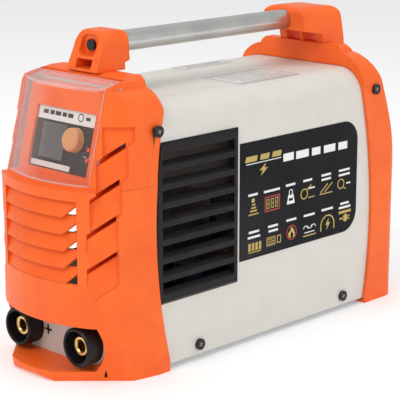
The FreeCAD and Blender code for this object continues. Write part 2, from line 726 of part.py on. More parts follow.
# ------------------------------------------------------------------ cover and chassis
def cover():
    """Folded sheet cover: an inverted U with holes for the side grilles and screws."""
    half = "cover_half"
    inner = "(cover_half - cover_skin)"
    bend = "cover_round"
    tight = "(cover_round - cover_skin)"
    outline = [
        (half, "cover_low"), (half, "cover_high - %s" % bend), ("%s - %s" % (half, bend), "cover_high", bend),
        ("-(%s - %s)" % (half, bend), "cover_high"), ("-%s" % half, "cover_high - %s" % bend, bend),
        ("-%s" % half, "cover_low"), ("-%s" % inner, "cover_low"), ("-%s" % inner, "cover_high - %s" % bend),
        ("-(%s - %s)" % (half, bend), "cover_high - cover_skin", "-%s" % tight),
        ("%s - %s" % (half, bend), "cover_high - cover_skin"),
        (inner, "cover_high - %s" % bend, "-%s" % tight), (inner, "cover_low"),
    ]
    shell = Turned("cover_shell")
    sketch = shell.sketch("XZ_Plane", outline, "-cover_rear")
    shell.feature("Pad", sketch, Length="cover_front + cover_rear")
    slot = box("grille_hole", ("-90", "-(grille_front - 4)", "grille_low + 3"),
               ("90", "-(grille_rear + 3)", "grille_high - 3"))
    holes = [rod("cover_hole_%d_%d" % (side, number), "x", ("%d * 78 - 12" % side, y, "13"), "2.1", "24")
             for side in (-1, 1) for number, y in enumerate(COVER_SCREWS)]
    node("cover", cut("cover_whole", shell.body, [slot] + holes + side_screw_holes("cover_front", "-114",
                                                                                   "193")
                      + side_screw_holes("cover_rear", "138.8 + 8", "192.8")))


COVER_SCREWS = ("-67", "111")


def chassis():
    """Base tray, the plate that carries the sockets, and the rear sheet panel."""
    side = "(cover_half - cover_skin - 0.3)"
    tray = Turned("tray")
    outline = [
        ("-%s" % side, "tray_low"), (side, "tray_low"), (side, "22"), ("%s - panel_skin" % side, "22"),
        ("%s - panel_skin" % side, "tray_low + panel_skin"), ("-(%s - panel_skin)" % side,
                                                              "tray_low + panel_skin"),
        ("-(%s - panel_skin)" % side, "22"), ("-%s" % side, "22"),
    ]
    sketch = tray.sketch("XZ_Plane", outline, "-(rear_wall - 0.2)")
    tray.feature("Pad", sketch, Length="rear_wall - 0.2 + tray_front")
    holes = [rod("tray_hole_%d_%d" % (way, number), "x", ("%d * 78 - 14" % way, y, "13"), "1.6", "28")
             for way in (-1, 1) for number, y in enumerate(COVER_SCREWS)]
    holes += [rod("tray_post_hole_%d" % number, "z", (x, y, "0"), "1.5", "12")
              for number, (x, y) in enumerate(POSTS)]
    node("base_tray", cut("tray_whole", tray.body, holes))

    plate = rounded_bar("mount_shape", "mount_half", "18", "-(plate_face - plate_skin)",
                        "-(plate_face - plate_skin - panel_skin)")
    foot = box("mount_foot", ("-(mount_half - 2)", "-(plate_face - plate_skin)", "tray_low + panel_skin"),
               ("mount_half - 2", "-(plate_face - plate_skin - panel_skin)", "12"))
    flange = box("mount_flange", ("-(mount_half - 2)", "-(plate_face - plate_skin)", "tray_low + panel_skin"),
                 ("mount_half - 2", "-(tray_front - 12)", "tray_low + 2 * panel_skin"))
    bores = [rod("mount_bore_%d" % way, "y", ("%d * socket_pitch / 2" % way, "-160", "socket_high"), "11.2",
                 "30")
             for way in (-1, 1)]
    node("socket_mount", cut("mount_whole", fuse("mount_plate", [plate, foot, flange]), bores))

    panel = box("rear_sheet", ("-66", "rear_wall", "tray_low"), ("66", "rear_wall + panel_skin", "198"))
    fan_hole = rod("fan_hole", "y", ("0", "rear_wall - 5", "fan_high"), "fan_square / 2 - 2.5", "20")
    switch_hole = box("switch_hole", ("-13.5", "rear_wall - 5", "162"), ("13.5", "rear_wall + 10", "183"))
    gland_hole = rod("gland_hole", "y", (GLAND_X, "rear_wall - 5", GLAND_Z), "8.1", "20")
    earth_hole = rod("earth_hole", "y", ("40", "rear_wall - 5", "36"), "3.1", "20")
    screws = [rod("fan_screw_hole_%d" % number, "y", (x, "rear_wall - 5", z), "2.2", "20")
              for number, (x, z) in enumerate(FAN_SCREWS)]
    rounded = fillet("rear_sheet_round", panel, "14",
                     lambda edge: is_along(edge, Y_WAY) and edge.CenterOfMass.z > 150)
    node("rear_panel", cut("rear_panel_whole", rounded, [fan_hole, switch_hole, gland_hole,
                                                         earth_hole] + screws))


POSTS = (("-52", "-60"), ("52", "-60"), ("-52", "108"), ("52", "108"))
FAN_SCREWS = tuple(("%d * 41.25" % a, "fan_high + %d * 41.25" % b) for a in (-1, 1) for b in (-1, 1))
GLAND_X = "-40"
GLAND_Z = "36"


# ------------------------------------------------------------------ side grille and label
def side_grille():
    """Black louvred insert of the right flank, and its mirror image."""
    base = box("grille_block", ("cover_half - 4", "-grille_front", "grille_low"),
               ("cover_half + grille_proud", "-grille_rear", "grille_high"))
    doc.recompute()
    edged = doc.addObject("Part::Chamfer", "grille_edged")
    edged.Base = base
    outer_x = value("cover_half + grille_proud")
    picked = [n for n, edge in enumerate(base.Shape.Edges, start=1)
              if abs(edge.BoundBox.XMin - outer_x) < 1e-6 and abs(edge.BoundBox.XMax - outer_x) < 1e-6]
    edged.Edges = [(n, 2.6, 2.6) for n in picked]
    hollow = box("grille_hollow", ("cover_half - 5", "-(grille_front - 6.5)", "grille_low + 6.5"),
                 ("cover_half - 1.2", "-(grille_rear + 6.5)", "grille_high - 6.5"))
    rim = [box("grille_rim_%d" % number, low, high) for number, (low, high) in enumerate((
        (("cover_half - 5", "-(grille_front + 1)", "grille_low - 1"),
         ("cover_half + 0.2", "-(grille_front - 4.6)", "grille_high + 1")),
        (("cover_half - 5", "-(grille_rear + 3.6)", "grille_low - 1"),
         ("cover_half + 0.2", "-(grille_rear - 1)", "grille_high + 1")),
        (("cover_half - 5", "-(grille_front + 1)", "grille_low - 1"),
         ("cover_half + 0.2", "-(grille_rear - 1)", "grille_low + 3.6")),
        (("cover_half - 5", "-(grille_front + 1)", "grille_high - 3.6"),
         ("cover_half + 0.2", "-(grille_rear - 1)", "grille_high + 1"))))]
    tools = [hollow] + rim
    pitch = "(grille_high - grille_low - 12) / 8"
    for number in range(8):
        low = "grille_low + 6 + %d * %s" % (number, pitch)
        wedge = [
            ("cover_half - 6", "%s + %s - 2" % (low, pitch)), ("cover_half - 6", "%s + 10" % low),
            ("cover_half + grille_proud + 0.6", "%s + 2" % low),
            ("cover_half + grille_proud + 0.6", "%s + %s - 2" % (low, pitch)),
        ]
        sketch = profile("grille_slot_front_%d" % number, "XZ", wedge, y="-(grille_rear + 6.5)")
        tools.append(extrude("grille_slot_%d" % number, sketch, Vector(0, -1, 0),
                             "grille_front - grille_rear - 13"))
    under_bezel = box("grille_front_zone", ("cover_half + 0.1", "-130", "0"), ("cover_half + 20", "-90",
                                                                               "cover_high"))
    tools.append(cut("grille_lap", under_bezel, [front_lap("grille_lap_edge", "0.4")]))
    right = node("side_grille_right", cut("grille_right", edged, tools))
    node("side_grille_left", mirrored("grille_left", right))


def side_label():
    """Printed film on each flank, with its two rear corners rounded."""
    outline = [
        ("-label_front", "label_low"), ("label_rear - 18", "label_low"), ("label_rear", "label_low + 18",
                                                                          "18"),
        ("label_rear", "label_high - 18"), ("label_rear - 18", "label_high", "18"), ("-label_front",
                                                                                     "label_high"),
    ]
    film = Turned("label_film")
    sketch = film.sketch("YZ_Plane", outline, "cover_half")
    film.feature("Pad", sketch, Length="label_skin")
    right = node("side_label_right", film.body)
    node("side_label_left", mirrored("label_left", right))


# ------------------------------------------------------------------ handle
def handle():
    """Tube and the two moulded brackets that carry it."""
    tube = rod("tube_outer", "y", ("0", "-tube_front", "tube_high"), "tube_round", "tube_front + tube_rear")
    bore = rod("tube_bore", "y", ("0", "-(tube_front + 1)", "tube_high"), "tube_round - tube_wall",
               "tube_front + tube_rear + 2")
    node("handle_tube", cut("handle_tube_whole", tube, [bore]))

    post_side = [
        ("-(post_rear + 5)", "crown_high"), ("-(post_rear + 5)", "crown_high + 5.5"),
        ("-post_rear", "crown_high + 7"), ("-post_rear", "crown_high + 27"),
        ("-(post_rear + 5)", "crown_high + 30.5", "6"), ("-(post_rear + 19)", "crown_high + 30.5"),
        ("-(post_rear + 23.5)", "crown_high + 27", "5"), ("-(post_rear + 34.5)", "crown_high"),
    ]
    post_bar = extrude("post_bar", profile("post_side", "YZ", post_side), X_WAY, "80", both=True)
    post_front = extrude("post_face", profile("post_front", "XZ", post_outline("post_half", "14.5"), y="-80"),
                         Vector(0, -1, 0), "60")
    post = common("post_solid", [post_bar, post_front])
    seat = rod("post_seat", "y", ("0", "-tube_front", "tube_high"), "tube_round + 0.1", "60")
    pocket = fillet("post_pocket", box("post_pocket_box", ("-9.5", "-(post_rear + 40)", "crown_high + 11"),
                                       ("9.5", "-(post_rear + 22.5)", "crown_high + 27")), "5",
                    lambda edge: is_along(edge, Y_WAY))
    opening = box("post_opening", ("-9", "-(post_rear + 40)", "crown_high + 1.8"),
                  ("9", "-(post_rear + 14)", "crown_high + 9"))
    screw = rod("post_screw_hole", "y", ("0", "-(post_rear + 30)", "tube_high"), "2.6", "20")
    node("front_handle_bracket", cut("front_bracket_whole", post, [seat, pocket, opening, screw]))

    cap_side = [
        ("tail_lap - 8", "crown_high - 2"), ("tail_lap - 10", "crown_high + 6"), ("tail_lap - 33",
                                                                                  "crown_high + 10"),
        ("tail_lap - 34", "crown_high + 26"), ("tail_lap - 28", "crown_high + 30.5", "-7"),
        ("tail_lap + 8", "crown_high + 29"), ("tail_lap + 16", "crown_high + 24", "-11"),
        ("tail_lap + 22", "shoulder_high + 13"), ("tail_lap + 4", "crown_high - 2"),
    ]
    cap_bar = extrude("cap_bar", profile("cap_side", "YZ", cap_side), X_WAY, "80", both=True)
    cap_front = extrude("cap_face", profile("cap_front", "XZ", post_outline("leg_half", "16"), y="190"),
                        Vector(0, -1, 0), "100")
    cap = common("cap_solid", [cap_bar, cap_front])
    socket = rod("cap_seat", "y", ("0", "tube_rear - 60", "tube_high"), "tube_round + 0.1", "60")
    hollows = [box("cap_hollow_%d" % number, (a, "tail_lap - 20", "crown_high - 20"), (b, "tail_lap + 40",
                                                                                       "tube_high - 12.5"))
               for number, (a, b) in enumerate((("-17", "-2"), ("2", "17")))]
    crown = tail_solid("tail_copy", "-0.1", "0")
    node("rear_handle_bracket", cut("rear_bracket_whole", cap, [socket, crown] + hollows))


def post_outline(half, top_half):
    """Front view of a handle bracket: flanks that close in a little and a round top."""
    return [
        ("-(%s)" % half, "190"), (half, "190"), (half, "crown_high + 4"), ("%s - 1" % half,
                                                                           "crown_high + 18"),
        (top_half + " - 4", "crown_high + 30.5", "13"), ("-(%s - 4)" % top_half, "crown_high + 30.5"),
        ("-(%s - 1)" % half, "crown_high + 18", "13"), ("-(%s)" % half, "crown_high + 4"),
    ]


# ------------------------------------------------------------------ sockets
def sockets():
    """Two panel sockets: insulating collar, brass contact with its stud, and nut."""
    plate = box("plate_shape", ("-(mount_half + 0.5)", "-plate_face", "socket_high - scoop_round - 0.5"),
                ("mount_half + 0.5", "-(plate_face - plate_skin)", "socket_high + scoop_round + 0.5"))
    bores = [rod("plate_bore_%d" % way, "y", ("%d * socket_pitch / 2" % way, "-160", "socket_high"), "11.1",
                 "30")
             for way in (-1, 1)]
    node("socket_plate", cut("socket_plate_whole", plate, bores))
    nuts = []
    for side, word in ((-1, "positive"), (1, "negative")):
        x = "%d * socket_pitch / 2" % side
        shell = Turned("socket_%s_shell" % word)
        outline = [
            ("contact_ring + 0.05", "-138"), ("11", "-138"), ("11", "-plate_face"), ("socket_ring",
                                                                                     "-plate_face"),
            ("socket_ring", "-(socket_face - 1.2)"), ("socket_ring - 1.2", "-socket_face"),
            ("socket_throat + 0.6", "-socket_face"), ("socket_throat", "-(socket_face - 0.6)"),
            ("socket_throat", "-(plate_face + 4)"), ("contact_ring + 0.05", "-(plate_face + 4)"),
        ]
        shell.revolve(shell.sketch("XY_Plane", outline), "Y_Axis")
        node("socket_body_" + word, place(shell.body, x, "0", "socket_high"))
        brass = Turned("socket_%s_brass" % word)
        mouth = "(socket_face - 5.3)"
        outline = [
            ("0", "-118"), ("4", "-118"), ("4", "-132"), ("contact_ring", "-132"), ("contact_ring",
                                                                                    "-%s" % mouth),
            ("contact_bore + 0.9", "-%s" % mouth), ("contact_bore", "-(%s - 0.9)" % mouth),
            ("contact_bore", "-(%s - contact_depth)" % mouth), ("0", "-(%s - contact_depth)" % mouth),
        ]
        brass.revolve(brass.sketch("XY_Plane", outline), "Y_Axis")
        node("socket_contact_" + word, place(brass.body, x, "0", "socket_high"))
        hexagon = doc.addObject("Part::Prism", "nut_%s_hex" % word)
        hexagon.Polygon = 6
        bind(hexagon, "Circumradius", "7.2")
        bind(hexagon, "Height", "6")
        place(hexagon, x, "-127.5", "socket_high", axis=Vector(1, 0, 0), angle=-90)
        nuts.append(cut("nut_" + word, hexagon, [rod("nut_bore_" + word, "y", (x, "-130", "socket_high"),
                                                     "4.05", "12")]))
    node("socket_nuts", group("socket_nut_pair", nuts))


# ------------------------------------------------------------------ control panel
def on_panel(name, low_x, high_x, low_z, high_z, front, rear):
    """A slab parallel to the leaning control panel, between two depths behind the sill line."""
    plan = [(low_x, front), (high_x, front), (high_x, rear), (low_x, rear)]
    return leaning_from(name, plan, low_z, high_z)


def leaning_from(name, plan, low_z, high_z):
    """A leaning slab whose plan is given at the height of the sill."""
    shift = lean_at(low_z)
    moved = [(x, "(%s) + %s" % (y, shift)) for x, y in plan]
    return leaning(name, moved, "(%s) - (%s)" % (high_z, low_z), low_z)


PANEL_FRONT = "-153.2"
PANEL_REAR = "-150.7"


def panel_point(high):
    """Depth of the panel's front face at a height."""
    return "%s + %s" % (PANEL_FRONT, lean_at(high))


def panel_turned(name, outline, high, x, depth):
    """A round piece square to the panel; depth counts outwards from its front face."""
    piece = Turned(name)
    piece.revolve(piece.sketch("XZ_Plane", outline), "Z_Axis")
    tilt = math.degrees(math.atan2(value("lean_run"), value("crown_high - lean_start")))
    y = "%s - %s * cos(%f)" % (panel_point(high), depth, tilt)
    z = "(%s) + %s * sin(%f)" % (high, depth, tilt)
    return place(piece.body, x, y, z, axis=Vector(1, 0, 0), angle=90 - tilt)


def control_panel():
    """Dark fascia, its overlay, display, lamps, knob and potentiometer."""
    plate = on_panel("panel_plate", "-38", "38", "154.2", "207", PANEL_FRONT, PANEL_REAR)
    hole_outline = [("0", "-10"), ("3.6", "-10"), ("3.6", "10"), ("0", "10")]
    shaft_hole = panel_turned("panel_shaft_hole", hole_outline, "182", "knob_side", "0")
    lamp_outline = [("0", "-10"), ("1.6", "-10"), ("1.6", "10"), ("0", "10")]
    lamp_holes = [panel_turned("panel_lamp_hole_%d" % n, lamp_outline, z, "29", "0")
                  for n, z in enumerate(LAMP_HEIGHTS)]
    display_hole = on_panel("panel_display_hole", "-23", "-1", "168", "190", "-156", "-149")
    node("control_panel", cut("control_panel_whole", plate, [shaft_hole, display_hole] + lamp_holes))
    strips = [
        on_panel("overlay_top", "-34", "34", "193.5", "203.5", "-153.6", PANEL_FRONT),
        on_panel("overlay_low", "-34", "12", "157.8", "162", "-153.6", PANEL_FRONT),
    ]
    node("panel_overlay", group("panel_overlay_pair", strips))
    node("display_window", on_panel("display_glass", "-26", "2", "165", "192", "-154.2", PANEL_FRONT))
    node("display_module", on_panel("display_block", "-22.6", "-1.4", "168.4", "189.6", "-152.6", "-145"))
    lamps = [panel_turned("lamp_%d" % n, [("0", "-5"), ("1.5", "-5"), ("1.5", "0.2"), ("0", "1.0")], z,
                          "29", "0")
             for n, z in enumerate(LAMP_HEIGHTS)]
    node("indicator_lamps", group("indicator_lamp_pair", lamps))
    pot_outline = [("0", "-14"), ("8.2", "-14"), ("8.2", "-3.2"), ("3", "-3.2"), ("3", "6"), ("0", "6")]
    node("potentiometer", panel_turned("potentiometer", pot_outline, "182", "knob_side", "0"))
    knob_outline = [
        ("3.05", "0"), ("knob_round", "0"), ("knob_round - 0.8", "knob_tall - 1.6"),
        ("knob_round - 2.4", "knob_tall"), ("0", "knob_tall"), ("0", "6"), ("3.05", "6"),
    ]
    knob = panel_turned("knob_turned", knob_outline, "182", "knob_side", "0.7")
    node("current_knob", knob)


LAMP_HEIGHTS = ("169", "177")


def flip_lid():
    """Clear lid over the controls, its knuckles and the pin it swings on."""
    skin = nose_solid("lid_skin", "0.2", "0")
    core = nose_solid("lid_core", "0.2 + lid_wall", "0")
    reach = "lid_half"
    within = "lid_half - lid_wall"
    face = leaning_from("lid_face_zone", rectangle(reach, "-230", "-156.5"),
                        "sill_high + mould_wall + lid_gap",
                        "crown_high + 3")
    roof = box("lid_roof_zone", ("-(%s)" % reach, "-200", "hinge_high - 1.4"),
               (reach, "-(hinge_set - 2.6)", "crown_high + 3"))
    outer = common("lid_outer", [skin, fuse("lid_zone", [face, roof])])
    hollow_box = box("lid_hollow_zone", ("-(%s)" % within, "-230", "100"), (within, "-100", "crown_high + 3"))
    shell = cut("lid_shell", outer, [common("lid_hollow", [core, hollow_box])])
    knuckles = [rod("lid_knuckle_%d" % n, "x", (x, "-hinge_set", "hinge_high"), "hinge_pin + 1.6", "7")
                for n, x in enumerate(("lid_half - 7", "-lid_half"))]
    pin_bore = rod("lid_pin_path", "x", ("-60", "-hinge_set", "hinge_high"), "hinge_pin + 0.05", "120")
    trim = box("lid_floor_trim", ("-60", "-(hinge_set - 2.6)", "200"), ("60", "-100", "240"))
    node("flip_lid", cut("flip_lid_whole", fuse("lid_with_knuckles", [shell] + knuckles), [pin_bore, trim]))
    node("lid_hinge_pin", rod("hinge_pin_rod", "x", ("-(lid_half + 4)", "-hinge_set", "hinge_high"),
                              "hinge_pin",
                              "2 * (lid_half + 4)"))


# ------------------------------------------------------------------ rear wall: fan, switch, cable gland
def fan():
    """Square fan frame, its rotor and the wire guard outside the rear panel."""
    half = "fan_square / 2"
    rear = "rear_wall"
    body = box("fan_block", ("-%s" % half, "%s - fan_deep" % rear, "fan_high - %s" % half),
               (half, rear, "fan_high + %s" % half))
    rounded = fillet("fan_rounded", body, "4", lambda edge: is_along(edge, Y_WAY))
    throat = rod("fan_throat", "y", ("0", "%s - fan_deep - 1" % rear, "fan_high"), "%s - 2.5" % half,
                 "fan_deep + 2")
    screws = [rod("fan_frame_hole_%d" % number, "y", (x, "%s - fan_deep - 1" % rear, z), "2.2",
                  "fan_deep + 2")
              for number, (x, z) in enumerate(FAN_SCREWS)]
    ring = cut("fan_ring", rounded, [throat] + screws)
    hub = rod("fan_motor_seat", "y", ("0", "%s - fan_deep" % rear, "fan_high"), "15", "3")
    arms = [box("fan_arm_%d" % number, low, high) for number, (low, high) in enumerate((
        (("-%s + 1" % half, "%s - fan_deep" % rear, "fan_high - 1.6"), ("%s - 1" % half,
                                                                        "%s - fan_deep + 3" % rear,
                                                                      "fan_high + 1.6")),
        (("-1.6", "%s - fan_deep" % rear, "fan_high - %s + 1" % half),
         ("1.6", "%s - fan_deep + 3" % rear, "fan_high + %s - 1" % half))))]
    spindle_hole = rod("fan_spindle_hole", "y", ("0", "%s - fan_deep - 1" % rear, "fan_high"), "1.55", "5")
    node("fan_frame", cut("fan_frame_whole", fuse("fan_frame_solid", [ring, hub] + arms), [spindle_hole]))

    rotor = Turned("rotor")
    front = "(rear_wall - fan_deep)"
    outline = [
        ("0", "%s + 0.5" % front), ("1.5", "%s + 0.5" % front), ("1.5", "%s + 4.5" % front),
        ("17", "%s + 4.5" % front), ("17", "rear_wall - 4"), ("15", "rear_wall - 2.5"), ("0",
                                                                                         "rear_wall - 2.5"),
    ]
    rotor.revolve(rotor.sketch("XY_Plane", outline), "Y_Axis")
    hub_body = place(rotor.body, "0", "0", "fan_high")
    blades = []
    for number in range(7):
        blade = box("rotor_blade_%d" % number, ("-1", "0", "15"), ("1", "15.5", "%s - 4" % half))
        blade.Placement = blade_placement(360.0 * number / 7.0)
        for letter in "xyz":
            blade.setExpression("Placement.Base." + letter, None)
        blades.append(blade)
    node("fan_rotor", fuse("fan_rotor_whole", [hub_body] + blades))

    rings = []
    for number, radius in enumerate(("12", "20", "28", "36", "44")):
        wire = doc.addObject("Part::Torus", "guard_ring_%d" % number)
        bind(wire, "Radius1", radius)
        bind(wire, "Radius2", "1.1")
        rings.append(place(wire, "0", "rear_wall + panel_skin + 2.6", "fan_high", axis=Vector(1, 0, 0),
                           angle=90))
    spokes = []
    for number, (x, z) in enumerate(FAN_SCREWS):
        spoke = doc.addObject("Part::Cylinder", "guard_spoke_%d" % number)
        bind(spoke, "Radius", "1.1")
        bind(spoke, "Height", "41.25 * sqrt(2) - 10")
        turn = Rotation(Z_WAY, Vector(value(x), 0, value(z) - value("fan_high")))
        start = Vector(value(x), 0, value(z) - value("fan_high")) * (10.0 / (41.25 * math.sqrt(2)))
        spoke.Placement = Placement(Vector(start.x, 0, 0), turn)
        bind(spoke, "Placement.Base.x", "%f" % start.x)
        bind(spoke, "Placement.Base.y", "rear_wall + panel_skin + 2.4")
        bind(spoke, "Placement.Base.z", "fan_high + %f" % start.z)
        lug = rod("guard_lug_%d" % number, "y", (x, "rear_wall + panel_skin", z), "4.2", "3.2")
        spokes += [spoke, lug]
    holes = [rod("guard_hole_%d" % number, "y", (x, "rear_wall - 2", z), "2.2", "12")
             for number, (x, z) in enumerate(FAN_SCREWS)]
    node("fan_guard", cut("fan_guard_whole", fuse("guard_wires", rings + spokes), holes))
    screws = []
    for number, (x, z) in enumerate(FAN_SCREWS):
        shank = rod("fan_screw_shank_%d" % number, "y", (x, "rear_wall - 20", z), "1.9", "25")
        head = rod("fan_screw_head_%d" % number, "y", (x, "rear_wall + panel_skin + 3.8", z), "3.8", "2.4")
        screws.append(fuse("fan_screw_%d" % number, [shank, head]))
    node("fan_screws", group("fan_screw_set", screws))


def blade_placement(angle):
    """Place one fan blade: pitched about its own radius, then turned about the fan axis."""
    pitch = Placement(Vector(0, 0, 0), Rotation(Z_WAY, 32), Vector(0, 7.75, 0))
    out = Placement(Vector(0, 0, 15), Rotation())
    shift = Placement(Vector(-1, 0, 0), Rotation())
    spin = Placement(Vector(0, 0, 0), Rotation(Y_WAY, angle))
    seat = Placement(Vector(0, value("rear_wall - fan_deep + 5.5"), value("fan_high")), Rotation())
    return seat.multiply(spin).multiply(pitch).multiply(out).multiply(shift)


SWITCH_HIGH = "172.5"
ROCKER_TILT = 9.0


def power_switch():
    """Rocker switch: snap-in body with a bezel, and the rocker that tips in it."""
    face = "rear_wall + panel_skin"
    frame = box("switch_bezel", ("-15.5", face, "%s - 12.5" % SWITCH_HIGH), ("15.5", "%s + 2.2" % face,
                                                                             "%s + 12.5" % SWITCH_HIGH))
    edged = fillet("switch_bezel_round", frame, "1.2", lambda edge: is_along(edge, Y_WAY))
    body = box("switch_block", ("-13.3", "rear_wall - 16", "%s - 10.3" % SWITCH_HIGH),
               ("13.3", "%s + 1" % face, "%s + 10.3" % SWITCH_HIGH))
    well = box("switch_well", ("-11.6", "rear_wall - 6.5", "%s - 9" % SWITCH_HIGH), ("11.6",
                                                                                     "%s + 4" % face, "%s + 9" % SWITCH_HIGH))
    pivot = rod("switch_pivot_bore", "x", ("-13", "rear_wall + 0.5", SWITCH_HIGH), "1.3", "26")
    node("switch_body", cut("switch_body_whole", fuse("switch_solid", [edged, body]), [well, pivot]))
    rocker_side = [
        ("-4", "-7.6"), ("4.2", "-7.6"), ("2.9", "0", "-25"), ("4.2", "7.6", "-25"), ("-4", "7.6"), ("-5.2",
                                                                                                     "0"),
    ]
    sketch = profile("rocker_side", "YZ", rocker_side, x="0")
    rocker = extrude("rocker_block", sketch, X_WAY, "22.6", both=True)
    pins = rod("rocker_pins", "x", ("-12.6", "0", "0"), "1.2", "25.2")
    whole = fuse("rocker_whole", [rocker, pins])
    whole.Placement = Placement(Vector(0, value("rear_wall + 0.5"), value(SWITCH_HIGH)), Rotation(X_WAY,
                                                                                                  ROCKER_TILT))
    bind(whole, "Placement.Base.y", "rear_wall + 0.5")
    bind(whole, "Placement.Base.z", SWITCH_HIGH)
    node("switch_rocker", whole)


def cable_gland():
    """Gland for the mains lead, its lock nut inside, and the earth stud."""
    face = "rear_wall + panel_skin"
    neck = rod("gland_neck", "y", (GLAND_X, "rear_wall - 9", GLAND_Z), "8", "11")
    collar = doc.addObject("Part::Prism", "gland_collar")
    collar.Polygon = 6
    bind(collar, "Circumradius", "12.2")
    bind(collar, "Height", "5")
    place(collar, GLAND_X, face, GLAND_Z, axis=Vector(1, 0, 0), angle=-90)
    dome = cone("gland_dome", "y", (GLAND_X, "%s + 5" % face, GLAND_Z), "10.4", "8.2", "11")
    bore = rod("gland_bore", "y", (GLAND_X, "rear_wall - 12", GLAND_Z), "4.5", "40")
    node("cable_gland", cut("cable_gland_whole", fuse("gland_solid", [neck, collar, dome]), [bore]))
    nut = doc.addObject("Part::Prism", "gland_nut_hex")
    nut.Polygon = 6
    bind(nut, "Circumradius", "12")
    bind(nut, "Height", "4.5")
    place(nut, GLAND_X, "rear_wall - 4.6", GLAND_Z, axis=Vector(1, 0, 0), angle=-90)
    node("gland_nut", cut("gland_nut_whole", nut, [rod("gland_nut_bore", "y", (GLAND_X, "rear_wall - 8",
                                                                               GLAND_Z), "8.05", "12")]))
    stud = rod("earth_stud_rod", "y", ("40", "rear_wall - 8", "36"), "3", "20")
    heads = []
    for number, (y, height) in enumerate((("rear_wall - 4.2", "4"), ("%s + 0.2" % face, "4"))):
        hexagon = doc.addObject("Part::Prism", "earth_nut_%d" % number)
        hexagon.Polygon = 6
        bind(hexagon, "Circumradius", "5.7")
        bind(hexagon, "Height", height)
        heads.append(place(hexagon, "40", y, "36", axis=Vector(1, 0, 0), angle=-90))
    node("earth_stud", fuse("earth_stud_whole", [stud] + heads))


# ------------------------------------------------------------------ electronics
BOARD_TOP = "(board_high + board_skin)"


def boards():
    """Main power board on its posts, and the small control board behind the fascia."""
    plate = box("main_board_plate", ("-60", "-70", "board_high"), ("60", "118", BOARD_TOP))
    holes = [rod("board_hole_%d" % n, "z", (x, y, "20"), "1.7", "10") for n, (x, y) in enumerate(POSTS)]
    node("main_board", cut("main_board_whole", plate, holes))
    posts = []
    for number, (x, y) in enumerate(POSTS):
        post = rod("post_%d" % number, "z", (x, y, "tray_low + panel_skin"), "3.2",
                   "board_high - tray_low - panel_skin")
        screw = rod("post_screw_%d" % number, "z", (x, y, "board_high - 4"), "1.5", "board_skin + 4")
        cap = rod("post_cap_%d" % number, "z", (x, y, BOARD_TOP), "2.8", "1.8")
        posts.append(fuse("post_whole_%d" % number, [post, screw, cap]))
    node("board_standoffs", group("standoff_set", posts))
    card = box("control_card", ("-33", "-128", "158"), ("33", "-126.4", "208"))
    chip = box("control_chip", ("-8", "-126.4", "176"), ("8", "-124.6", "188"))
    plugs = box("control_plug", ("-24", "-126.4", "192"), ("-4", "-120", "200"))
    node("control_board", fuse("control_board_whole", [card, chip, plugs]))


def finned_block(label, low, high, count):
    """Extruded heat sink: a spine with a row of thin fins, made with a linear pattern."""
    sink = Turned(label)
    x0, y0, z0 = low
    x1, y1, z1 = high
    spine = sink.sketch("XY_Plane", [("(%s) - 6" % x1, y0), (x1, y0), (x1, y1), ("(%s) - 6" % x1, y1)], z0)
    sink.feature("Pad", spine, Length="(%s) - (%s)" % (z1, z0))
    fin = sink.sketch("XY_Plane", [(x0, y0), ("(%s) - 5" % x1, y0), ("(%s) - 5" % x1, "(%s) + 1.6" % y0),
                                   (x0, "(%s) + 1.6" % y0)], z0)
    pad = sink.feature("Pad", fin, Length="(%s) - (%s)" % (z1, z0))
    sink.linear(pad, "Y_Axis", "(%s) - (%s) - 1.6" % (y1, y0), count)
    node(label, sink.body)


